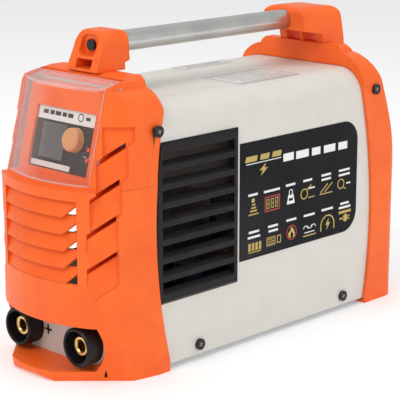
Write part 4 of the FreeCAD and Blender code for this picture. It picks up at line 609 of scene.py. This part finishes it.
class Printer:
    """Draws thin raised marks flat in millimetres, sorted by ink, and lays them on a plane.

    Args:
        plane: the plane printed on.
        lift: thickness of the ink in millimetres.
    """

    def __init__(self, plane: Plane2, lift: float = 0.09) -> None:
        """Start with no marks."""
        self.plane = plane
        self.lift = lift
        self.marks: Dict[Ink, List[bpy.types.Object]] = {}

    def keep(self, item: bpy.types.Object, ink: Ink) -> None:
        """Give a mark its thickness and file it under its ink.

        Args:
            item: the flat mark.
            ink: ink used.
        """
        settle(item)
        only(item)
        bpy.ops.object.mode_set(mode="EDIT")
        bpy.ops.mesh.select_all(action="SELECT")
        bpy.ops.mesh.extrude_region_move(TRANSFORM_OT_translate={"value": (0, 0, self.lift)})
        bpy.ops.mesh.select_all(action="SELECT")
        bpy.ops.mesh.normals_make_consistent(inside=False)
        bpy.ops.object.mode_set(mode="OBJECT")
        self.marks.setdefault(ink, []).append(item)

    def bar(self, ink: Ink, u: float, v: float, wide: float, high: float, turn: float = 0.0) -> None:
        """Print a bar.

        Args:
            ink: ink used.
            u: centre across.
            v: centre up.
            wide: size across.
            high: size up.
            turn: turn about the centre in degrees.
        """
        bpy.ops.mesh.primitive_plane_add(size=1, location=(u, v, 0), rotation=(0, 0, math.radians(turn)))
        item = bpy.context.active_object
        item.scale = (wide, high, 1)
        self.keep(item, ink)

    def frame(self, ink: Ink, u: float, v: float, wide: float, high: float, line: float) -> None:
        """Print the outline of a box.

        Args:
            ink: ink used.
            u: centre across.
            v: centre up.
            wide: size across.
            high: size up.
            line: width of the line.
        """
        bpy.ops.mesh.primitive_plane_add(size=1, location=(u, v, 0))
        item = bpy.context.active_object
        item.scale = (wide, high, 1)
        settle(item)
        only(item)
        bpy.ops.object.mode_set(mode="EDIT")
        bpy.ops.mesh.select_all(action="SELECT")
        bpy.ops.mesh.inset(thickness=line)
        bpy.ops.mesh.delete(type="FACE")
        bpy.ops.object.mode_set(mode="OBJECT")
        self.keep(item, ink)

    def disc(self, ink: Ink, u: float, v: float, radius: float) -> None:
        """Print a filled disc."""
        bpy.ops.mesh.primitive_circle_add(vertices=DISC_SIDES, radius=radius, fill_type="NGON",
                                          location=(u, v, 0))
        self.keep(bpy.context.active_object, ink)

    def ring(self, ink: Ink, u: float, v: float, radius: float, line: float, start: float = 0.0,
             sweep: float = 360.0) -> None:
        """Print a ring or an arc.

        Args:
            ink: ink used.
            u: centre across.
            v: centre up.
            radius: outer radius.
            line: width of the line.
            start: first angle in degrees.
            sweep: angle covered in degrees.
        """
        bpy.ops.mesh.primitive_circle_add(vertices=RING_SIDES, radius=radius, fill_type="NGON")
        item = bpy.context.active_object
        only(item)
        bpy.ops.object.mode_set(mode="EDIT")
        bpy.ops.mesh.select_all(action="SELECT")
        bpy.ops.mesh.inset(thickness=line)
        bpy.ops.mesh.delete(type="FACE")
        if sweep <= 180.0:
            for angle, turn in ((start, -90.0), (start + sweep, 90.0)):
                bpy.ops.mesh.select_all(action="SELECT")
                way = math.radians(angle + turn)
                bpy.ops.mesh.bisect(plane_co=(0, 0, 0), plane_no=(math.cos(way), math.sin(way), 0),
                                    clear_outer=True)
        bpy.ops.object.mode_set(mode="OBJECT")
        item.location = (u, v, 0)
        self.keep(item, ink)

    def shape(self, ink: Ink, corners: Sequence[Tuple[float, float]]) -> None:
        """Print a filled polygon.

        Args:
            ink: ink used.
            corners: corners in order.
        """
        bpy.ops.mesh.primitive_circle_add(vertices=len(corners), radius=1.0, fill_type="NGON")
        item = bpy.context.active_object
        for vertex, (x, y) in zip(item.data.vertices, corners):
            vertex.co = (x, y, 0)
        self.keep(item, ink)

    def line(self, ink: Ink, start: Tuple[float, float], end: Tuple[float, float], line: float) -> None:
        """Print a straight line between two points."""
        across, up = end[0] - start[0], end[1] - start[1]
        self.bar(ink, (start[0] + end[0]) / 2, (start[1] + end[1]) / 2, math.hypot(across, up), line,
                 math.degrees(math.atan2(up, across)))

    def finish(self, name: str, body: Body, paints: "Paints") -> None:
        """Join the marks of each ink, lay them on the plane and let them ride.

        Args:
            name: base name of the pieces.
            body: body that carries them.
            paints: the materials.
        """
        for ink, pieces in self.marks.items():
            item = join(pieces, "%s_%s" % (name, ink.value))
            self.plane.lay(item)
            only(item)
            bpy.ops.object.mode_set(mode="EDIT")
            bpy.ops.mesh.select_all(action="SELECT")
            bpy.ops.mesh.normals_make_consistent(inside=False)
            bpy.ops.object.mode_set(mode="OBJECT")
            paints.dress(item, "ink_" + ink.value)
            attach(item, body.value)
            LOG.info("piece %s", item.name)


# ------------------------------------------------------------------ sub-assemblies
NODE_FINISH: Dict[str, str] = {
    "front_bezel": "orange_moulding", "rear_bezel": "orange_moulding",
    "front_handle_bracket": "orange_moulding", "rear_handle_bracket": "orange_moulding",
    "cover": "white_paint", "base_tray": "zinc_steel", "socket_mount": "zinc_steel",
    "rear_panel": "black_paint", "side_grille_right": "black_plastic",
    "side_grille_left": "black_plastic", "side_label_right": "printed_film",
    "side_label_left": "printed_film", "handle_tube": "brushed_tube",
    "socket_plate": "light_plastic", "socket_body_positive": "black_plastic",
    "socket_body_negative": "black_plastic", "socket_contact_positive": "brass",
    "socket_contact_negative": "brass", "socket_nuts": "brass", "control_panel": "dark_fascia",
    "panel_overlay": "light_strip", "display_window": "smoked_window", "display_module": "black_plastic",
    "indicator_lamps": "lamp_lens", "potentiometer": "zinc_steel", "current_knob": "knob_plastic",
    "flip_lid": "clear_plastic", "lid_hinge_pin": "steel_pin", "fan_frame": "black_plastic",
    "fan_rotor": "black_plastic", "fan_guard": "chrome_wire", "fan_screws": "black_screw",
    "switch_body": "black_plastic", "switch_rocker": "rocker_plastic", "cable_gland": "black_plastic",
    "gland_nut": "black_plastic", "earth_stud": "brass", "main_board": "circuit_board",
    "board_standoffs": "brass", "control_board": "circuit_board", "inverter_heatsink": "aluminium",
    "rectifier_heatsink": "aluminium", "power_transistors": "black_plastic", "output_diodes": "black_plastic",
    "bulk_capacitors": "capacitor_sleeve", "input_bridge": "black_plastic", "transformer_core": "ferrite",
    "transformer_winding": "winding_tape", "output_choke": "copper", "busbar_positive": "copper",
    "busbar_negative": "copper", "cover_screws": "black_screw", "bezel_screws": "black_screw",
    "handle_screw": "black_screw",
}


class FrameDressing:
    """Gives every CAD node its finish."""

    def __init__(self, paints: Paints) -> None:
        """Remember the materials."""
        self.paints = paints

    def build(self) -> None:
        """Dress every node of the frame."""
        for name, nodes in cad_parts.items():
            finish = NODE_FINISH.get(name, "black_plastic")
            items = nodes if isinstance(nodes, (list, tuple)) else [nodes]
            for item in items:
                self.paints.dress(item, finish)
            LOG.info("node %s wears %s", name, finish)


@dataclass
class SideLabel:
    """Printed pictures and bars on one side label.

    Args:
        paints: the materials.
        side: +1 for the right flank, -1 for the left.
        face: distance of the label's face from the middle, in millimetres.
        top_row: height of the upper pictures.
        low_row: height of the lower pictures.
        bar_high: height of the caption bars.
    """
    paints: Paints
    side: int = 1
    face: float = 69.8
    top_row: float = 115.0
    low_row: float = 83.5
    bar_high: float = 2.0
    printer: Printer = field(init=False)

    def __post_init__(self) -> None:
        """Set up the printing plane of this flank."""
        if self.side > 0:
            plane = Plane2((self.face, 0, 0), (0, 1, 0), (0, 0, 1))
        else:
            plane = Plane2((-self.face, 106.0, 0), (0, -1, 0), (0, 0, 1))
        self.printer = Printer(plane)

    def heading(self) -> None:
        """Plain emblem and bars along the top."""
        pen = self.printer
        for u, wide in ((-8.0, 15.0), (8.0, 12.0), (22.5, 12.0)):
            pen.shape(Ink.GOLD, [(u - wide / 2, 152.3), (u + wide / 2 - 1.2, 152.3), (u + wide / 2, 157.0),
                                 (u - wide / 2 + 1.2, 157.0)])
        pen.bar(Ink.WHITE, 7.0, 150.6, 42.0, 0.8)
        pen.shape(Ink.GOLD, [(9.5, 149.2), (1.5, 143.6), (5.6, 143.6), (3.4, 139.0), (12.0, 145.2),
                             (7.8, 145.2)])
        for index, wide in enumerate((13, 16, 11, 15, 12)):
            pen.bar(Ink.WHITE, 37.0 + index * 17.5, 149.6 - index * 0.25, wide, 6.6)

    def captions(self) -> None:
        """White bars above each picture."""
        pen = self.printer
        rows = (
            ((-5.7, 124.8, 11.2), (17.0, 124.6, 19.5), (40.1, 125.4, 11.8), (61.7, 125.6, 11.5),
             (85.8, 126.4, 12.4), (85.9, 122.6, 12.4), (109.8, 126.7, 14.8), (109.9, 122.7, 14.8)),
            ((-4.2, 93.5, 12.5), (-4.2, 89.2, 14.9), (18.9, 94.2, 12.2), (19.3, 90.2, 11.6),
             (41.7, 95.2, 12.5), (64.4, 95.1, 14.1), (88.0, 95.8, 15.1), (111.2, 97.0, 11.5),
             (111.3, 93.4, 15.6)),
        )
        for row in rows:
            for u, v, wide in row:
                pen.bar(Ink.WHITE, u, v, wide, self.bar_high)

    def top_pictures(self) -> None:
        """Pictures of the upper row."""
        pen, v = self.printer, self.top_row
        pen.disc(Ink.GOLD, -5.5, v + 5.0, 2.0)
        for step, wide in enumerate((4.0, 6.0, 8.0)):
            pen.bar(Ink.GOLD, -5.0, v + 1.4 - 2.6 * step, wide, 1.5)
        pen.bar(Ink.GOLD, -5.0, v - 6.6, 12.0, 1.1)
        pen.frame(Ink.RED, 17.7, v - 1.2, 18.6, 13.0, 1.3)
        for index in range(3):
            x = 12.4 + index * 5.3
            pen.frame(Ink.GOLD, x, v + 0.9, 3.5, 4.2, 0.8)
            pen.frame(Ink.GOLD, x, v - 3.1, 3.5, 4.4, 0.8)
        pen.shape(Ink.WHITE, [(35.6, v - 6.0), (45.6, v - 6.0), (43.6, v + 2.4), (37.6, v + 2.4)])
        pen.ring(Ink.WHITE, 40.6, v + 4.0, 2.5, 0.9)
        pen.bar(Ink.BLACK, 40.6, v - 2.2, 5.0, 2.2)
        pen.ring(Ink.GOLD, 57.6, v - 0.6, 4.7, 1.1)
        pen.line(Ink.GOLD, (60.6, v + 2.6), (67.0, v + 6.2), 1.0)
        pen.bar(Ink.WHITE, 67.0, v + 3.3, 8.0, 1.4)
        pen.bar(Ink.GOLD, 66.8, v - 4.6, 8.4, 1.0)
        pen.line(Ink.GOLD, (78.4, v - 3.6), (88.0, v + 3.4), 1.1)
        pen.line(Ink.GOLD, (84.0, v - 3.6), (94.0, v + 3.4), 1.1)
        pen.bar(Ink.GOLD, 86.0, v - 4.8, 16.5, 1.0)
        pen.ring(Ink.GOLD, 105.5, v, 4.6, 1.1)
        pen.line(Ink.GOLD, (108.4, v - 3.2), (112.4, v - 5.2), 1.1)
        pen.bar(Ink.WHITE, 115.6, v - 0.6, 5.4, 1.4)

    def low_pictures(self) -> None:
        """Pictures of the lower row."""
        pen, v = self.printer, self.low_row
        for index in range(4):
            pen.bar(Ink.GOLD, -9.4 + index * 4.2, v - 2.6, 3.0, 6.8)
        pen.bar(Ink.GOLD, -3.2, v - 7.2, 15.0, 0.9)
        pen.frame(Ink.GOLD, 16.6, v - 2.0, 10.8, 7.6, 0.8)
        for index in range(3):
            pen.bar(Ink.GOLD, 16.6, v - 0.2 - index * 1.9, 8.4, 0.8)
        pen.frame(Ink.GOLD, 26.5, v - 1.8, 5.0, 6.9, 0.9)
        pen.ring(Ink.RED, 42.2, v + 0.6, 6.5, 1.0)
        pen.shape(Ink.GOLD, [(38.6, v - 3.6), (38.0, v + 0.6), (40.6, v + 2.2), (41.6, v + 6.0),
                             (44.6, v + 3.2), (46.4, v - 0.4), (45.6, v - 3.8)])
        pen.shape(Ink.RED, [(40.8, v - 3.4), (41.6, v + 1.2), (44.2, v - 0.4), (43.8, v - 3.6)])
        for index in range(3):
            pen.ring(Ink.WHITE, 60.0 + index * 5.2, v + 2.4 * (index % 2), 2.9, 0.8, 180.0 * (index % 2),
                     180.0)
        pen.bar(Ink.WHITE, 65.2, v - 3.4, 13.0, 0.9)
        pen.bar(Ink.GOLD, 65.4, v - 6.2, 16.8, 1.1)
        pen.ring(Ink.GOLD, 88.7, v - 2.0, 9.4, 1.3, 0.0, 180.0)
        pen.bar(Ink.GOLD, 80.0, v - 4.2, 1.3, 4.4)
        pen.bar(Ink.GOLD, 97.4, v - 4.2, 1.3, 4.4)
        pen.shape(Ink.GOLD, [(90.6, v + 4.4), (85.6, v - 1.6), (88.6, v - 1.6), (86.8, v - 6.4),
                             (92.4, v + 0.2), (89.4, v + 0.2)])
        pen.bar(Ink.GOLD, 111.8, v + 5.8, 16.3, 2.4)
        pen.disc(Ink.GOLD, 112.6, v + 0.2, 3.4)
        pen.bar(Ink.GOLD, 107.6, v + 0.2, 5.6, 1.6)
        pen.bar(Ink.GOLD, 117.0, v + 1.4, 3.6, 1.0)
        pen.bar(Ink.GOLD, 117.0, v - 1.0, 3.6, 1.0)

    def build(self) -> None:
        """Print the whole label."""
        self.heading()
        self.captions()
        self.top_pictures()
        self.low_pictures()
        name = "label_print_right" if self.side > 0 else "label_print_left"
        self.printer.finish(name, Body.CASING, self.paints)


@dataclass
class LidEdgeHighlights:
    """Painted highlight: pale beads along the folded edges of the clear lid stand for the light caught on
    those edges.

    Args:
        paints: the materials.
        bead: radius of the painted highlight beads in metres.
        sharp: least angle of an edge, in degrees.
    """
    paints: Paints
    bead: float = 0.00042
    sharp: float = 32.0

    def outline(self) -> bpy.types.Object:
        """Copy the lid and keep only its sharp edges.

        Returns:
            An object of loose edges.
        """
        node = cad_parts["flip_lid"]
        source = node[0] if isinstance(node, (list, tuple)) else node
        item = bpy.data.objects.new("painted_lid_highlight_beads", source.data.copy())
        bpy.context.scene.collection.objects.link(item)
        item.data.materials.clear()
        only(item)
        bpy.ops.object.mode_set(mode="EDIT")
        bpy.ops.mesh.select_all(action="SELECT")
        bpy.ops.mesh.remove_doubles(threshold=0.00001)
        bpy.ops.mesh.select_mode(type="EDGE")
        bpy.ops.mesh.select_all(action="DESELECT")
        bpy.ops.mesh.edges_select_sharp(sharpness=math.radians(self.sharp))
        bpy.ops.mesh.select_all(action="INVERT")
        bpy.ops.mesh.delete(type="EDGE_FACE")
        bpy.ops.object.mode_set(mode="OBJECT")
        return item

    def build(self) -> None:
        """Turn the edges into thin painted highlight beads that ride on the lid."""
        item = self.outline()
        only(item)
        bpy.ops.object.convert(target="CURVE")
        item = bpy.context.view_layer.objects.active
        item.data.bevel_depth = self.bead
        item.data.bevel_resolution = 1
        only(item)
        bpy.ops.object.convert(target="MESH")
        item = bpy.context.view_layer.objects.active
        item.name = "painted_lid_highlight_beads"
        self.paints.dress(item, "painted_lid_highlight")
        settle(item)
        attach(item, Body.LID.value)
        LOG.info("piece %s with %d faces", item.name, len(item.data.polygons))


@dataclass
class TopStickers:
    """Two pale stickers with fine grey lines on the cover's top.

    Args:
        paints: the materials.
        level: height of the cover's top in millimetres.
        film: thickness of a sticker.
        ink_top: height of the printed lines over the cover.
        border: distance of the frame from the sticker's edge.
    """
    paints: Paints
    level: float = 212.0
    film: float = 0.12
    ink_top: float = 0.22
    border: float = 1.2

    def one(self, name: str, x_low: float, x_high: float, y_low: float, y_high: float, rows: int) -> None:
        """Make one sticker with its border and lines.

        Args:
            name: piece name.
            x_low: first edge across.
            x_high: last edge across.
            y_low: front edge.
            y_high: rear edge.
            rows: number of printed lines.
        """
        pen = Printer(Plane2((0, 0, self.level), (1, 0, 0), (0, 1, 0)), self.ink_top)
        mid_x, mid_y = (x_low + x_high) / 2, (y_low + y_high) / 2
        wide, long = x_high - x_low, y_high - y_low
        bpy.ops.mesh.primitive_plane_add(size=1, location=(mid_x, mid_y, 0))
        sheet = bpy.context.active_object
        sheet.scale = (wide, long, 1)
        base = Printer(pen.plane, self.film)
        base.keep(sheet, Ink.GREY)
        item = join(base.marks[Ink.GREY], name)
        apply_modifier(item, "BEVEL", width=1.6, segments=4, affect="EDGES", limit_method="ANGLE")
        base.plane.lay(item)
        self.paints.dress(item, "sticker_film")
        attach(item, Body.CASING.value)
        LOG.info("piece %s", name)
        pen.frame(Ink.GREY, mid_x, mid_y, wide - 2 * self.border, long - 2 * self.border, 0.7)
        for row in range(rows):
            x = x_low + 5.5 + (wide - 11) * row / max(1, rows - 1)
            pen.bar(Ink.GREY, x, mid_y + (row % 3 - 1) * 2.0, 1.0, long - 14 - (row % 2) * 9)
        pen.finish(name + "_lines", Body.CASING, self.paints)

    def build(self) -> None:
        """Make both stickers."""
        self.one("sticker_near", 5.0, 50.0, -1.0, 72.6, 7)
        self.one("sticker_far", -50.3, -33.4, 18.0, 81.4, 3)


@dataclass
class SocketMarks:
    """Plus and minus signs beside the output sockets.

    Args:
        paints: the materials.
        face: front of the socket plate, in millimetres.
        level: height of the signs.
        place: distance of each sign from the middle.
        arm: length of a sign's arms.
        line: width of the long lines.
    """
    paints: Paints
    face: float = -152.7
    level: float = 26.0
    place: float = 14.6
    arm: float = 8.0
    line: float = 1.8

    def build(self) -> None:
        """Print both signs on the socket plate."""
        pen = Printer(Plane2((0, self.face, self.level), (1, 0, 0), (0, 0, 1)), 0.15)
        pen.bar(Ink.BLACK, -self.place, 0, self.arm, self.line)
        pen.bar(Ink.BLACK, -self.place, 0, 2.0, self.arm)
        pen.bar(Ink.BLACK, self.place, 0, self.arm, self.line)
        pen.finish("socket_sign", Body.CASING, self.paints)


@dataclass
class PanelMarks:
    """Dial marks and small bars on the leaning control panel.

    Args:
        paints: the materials.
        tilt: lean of the panel in degrees.
        foot_y: front of the panel at its foot, in millimetres.
        foot_z: height of that foot.
        knob_x: place of the knob across.
        knob_z: height of the knob.
        dial: outer radius of the ticks.
        ticks: number of ticks.
        tick_long: length of a tick.
        first: angle of the first tick in degrees.
        sweep: angle that the ticks cover.
    """
    paints: Paints
    tilt: float = 14.24
    foot_y: float = -153.2
    foot_z: float = 146.0
    knob_x: float = 14.0
    knob_z: float = 182.0
    dial: float = 14.0
    ticks: int = 11
    tick_long: float = 1.4
    first: float = 220.0
    sweep: float = 260.0

    def plane(self) -> Plane2:
        """Find the printing plane of the panel.

        Returns:
            The plane, with (0, 0) under the knob's centre.
        """
        lean = math.radians(self.tilt)
        y = self.foot_y + (self.knob_z - self.foot_z) * math.tan(lean)
        return Plane2((self.knob_x, y, self.knob_z), (1, 0, 0), (0, math.sin(lean), math.cos(lean)))

    def build(self) -> None:
        """Print the dial and the strips."""
        pen = Printer(self.plane(), 0.12)
        for index in range(self.ticks):
            angle = math.radians(self.first - self.sweep * index / (self.ticks - 1))
            inner = self.dial - self.tick_long
            pen.line(Ink.GREY, (inner * math.cos(angle), inner * math.sin(angle)),
                     (self.dial * math.cos(angle), self.dial * math.sin(angle)), 0.35)
        for u, v in ((12.5, -11.0), (17.5, -11.4)):
            pen.bar(Ink.WHITE, u, v, 2.4, 0.7)
        pen.finish("dial", Body.CASING, self.paints)
        strip = Printer(self.plane(), 0.52)
        row = (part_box("panel_overlay")[1].z / MM - self.knob_z) / math.cos(math.radians(self.tilt)) - 4.6
        for u, wide in ((-39.5, 6.0), (-32.0, 5.0), (-25.0, 6.5), (-17.5, 5.0), (-10.5, 6.0)):
            strip.bar(Ink.BLACK, u, row, wide, 3.2)
        strip.ring(Ink.BLACK, 1.5, row, 3.2, 0.8)
        strip.bar(Ink.BLACK, 10.0, row, 5.0, 2.6)
        strip.finish("panel_strip", Body.CASING, self.paints)


@dataclass
class ScrewHeads:
    """Crosses on the screw heads of both flanks.

    Args:
        paints: the materials.
        slot_long: length of a cross's arms in millimetres.
        slot_wide: width of the arms.
        lift: thickness of the mark.
        turn: turn of the cross in degrees.
    """
    paints: Paints
    slot_long: float = 3.4
    slot_wide: float = 0.9
    lift: float = 0.06
    turn: float = 20.0

    def cross(self, pen: Printer, u: float, v: float) -> None:
        """Draw one cross about a point of the flank."""
        pen.bar(Ink.GREY, u, v, self.slot_long, self.slot_wide, self.turn)
        pen.bar(Ink.GREY, u, v, self.slot_long, self.slot_wide, self.turn + 90.0)

    def build(self) -> None:
        """Mark every head of the bezels and of the cover."""
        for name in ("bezel_screws", "cover_screws"):
            low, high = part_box(name)
            level = (low.z + high.z) / 2 / MM
            radius = (high.z - low.z) / 2 / MM
            ends = (low.y / MM + radius, high.y / MM - radius)
            for side in (-1, 1):
                plane = Plane2((side * high.x / MM, 0, level), (0, side, 0), (0, 0, 1))
                pen = Printer(plane, self.lift)
                for along in ends:
                    self.cross(pen, side * along, 0.0)
                pen.finish("%s_cross_%s" % (name, "right" if side > 0 else "left"), Body.CASING, self.paints)


@dataclass
class Studio:
    """Floor, soft lights, sky and camera.

    Args:
        paints: the materials.
        camera_at: position of the camera in metres.
        azimuth: turn of the camera from the front, in degrees.
        pitch: fall of its line of sight in degrees.
        lens: focal length in millimetres.
        sensor: width of the sensor in millimetres.
        sky_level: strength of the surround as a light.
        floor_size: side of the floor in metres.
    """
    paints: Paints
    camera_at: Point = (0.8716, -0.8763, 0.4178)
    azimuth: float = 44.72
    pitch: float = 14.11
    lens: float = 135.7
    sensor: float = 36.0
    sky_level: float = 0.62
    floor_size: float = 14.0

    def floor(self) -> None:
        """A large pale floor."""
        bpy.ops.mesh.primitive_plane_add(size=self.floor_size, location=(0, 0, 0))
        item = bpy.context.active_object
        item.name = "studio_floor"
        self.paints.dress(item, "studio_floor")

    def area(self, name: str, at: Point, power: float, size: float, aim: Point = (0, 0, 0.13)) -> None:
        """Add one soft square light.

        Args:
            name: light name.
            at: position in metres.
            power: watts.
            size: side length in metres.
            aim: point it faces.
        """
        lamp = bpy.data.lights.new(name, "AREA")
        lamp.energy = power
        lamp.size = size
        item = bpy.data.objects.new(name, lamp)
        item.location = at
        item.rotation_euler = (Vector(aim) - Vector(at)).to_track_quat("-Z", "Y").to_euler()
        bpy.context.scene.collection.objects.link(item)

    def sky(self) -> None:
        """A plain bright surround."""
        world = bpy.data.worlds.new("surround")
        world.use_nodes = True
        tree = world.node_tree
        back = tree.nodes["Background"]
        back.inputs["Color"].default_value = (1.0, 1.0, 1.0, 1.0)
        path = tree.nodes.new("ShaderNodeLightPath")
        level = add_range(tree, path.outputs["Is Camera Ray"], 0.0, 1.0, self.sky_level, 1.0)
        tree.links.new(level, back.inputs["Strength"])
        bpy.context.scene.world = world

    def camera(self) -> None:
        """The camera of the main view."""
        data = bpy.data.cameras.new("main_camera")
        data.lens = self.lens
        data.sensor_width = self.sensor
        item = bpy.data.objects.new("main_camera", data)
        item.location = self.camera_at
        turn, fall = math.radians(self.azimuth), math.radians(self.pitch)
        look = Vector((-math.sin(turn) * math.cos(fall), math.cos(turn) * math.cos(fall), -math.sin(fall)))
        item.rotation_mode = "QUATERNION"
        item.rotation_quaternion = look.to_track_quat("-Z", "Y")
        bpy.context.scene.collection.objects.link(item)
        bpy.context.scene.camera = item

    def build(self) -> None:
        """Set up the whole studio."""
        self.floor()
        self.sky()
        self.area("key_light", (0.2, -1.5, 1.5), 12.0, 0.9)
        self.area("side_light", (1.7, 0.3, 0.9), 6.0, 1.0)
        self.area("top_light", (-0.2, 0.1, 1.9), 8.0, 1.2)
        self.camera()
        bpy.context.scene.view_settings.view_transform = "Standard"


def main() -> None:
    """Build every sub-assembly in order."""
    logging.basicConfig(level=logging.INFO, format="%(message)s")
    bpy.ops.object.select_all(action="DESELECT")
    paints = Paints()
    steps: List[object] = [
        FrameDressing(paints), LidEdgeHighlights(paints), SideLabel(paints, 1), SideLabel(paints, -1),
        TopStickers(paints), SocketMarks(paints), PanelMarks(paints), ScrewHeads(paints), Studio(paints),
    ]
    for step in steps:
        step.build()
        LOG.info("built %s", type(step).__name__)


if __name__ == "__main__":
    main()
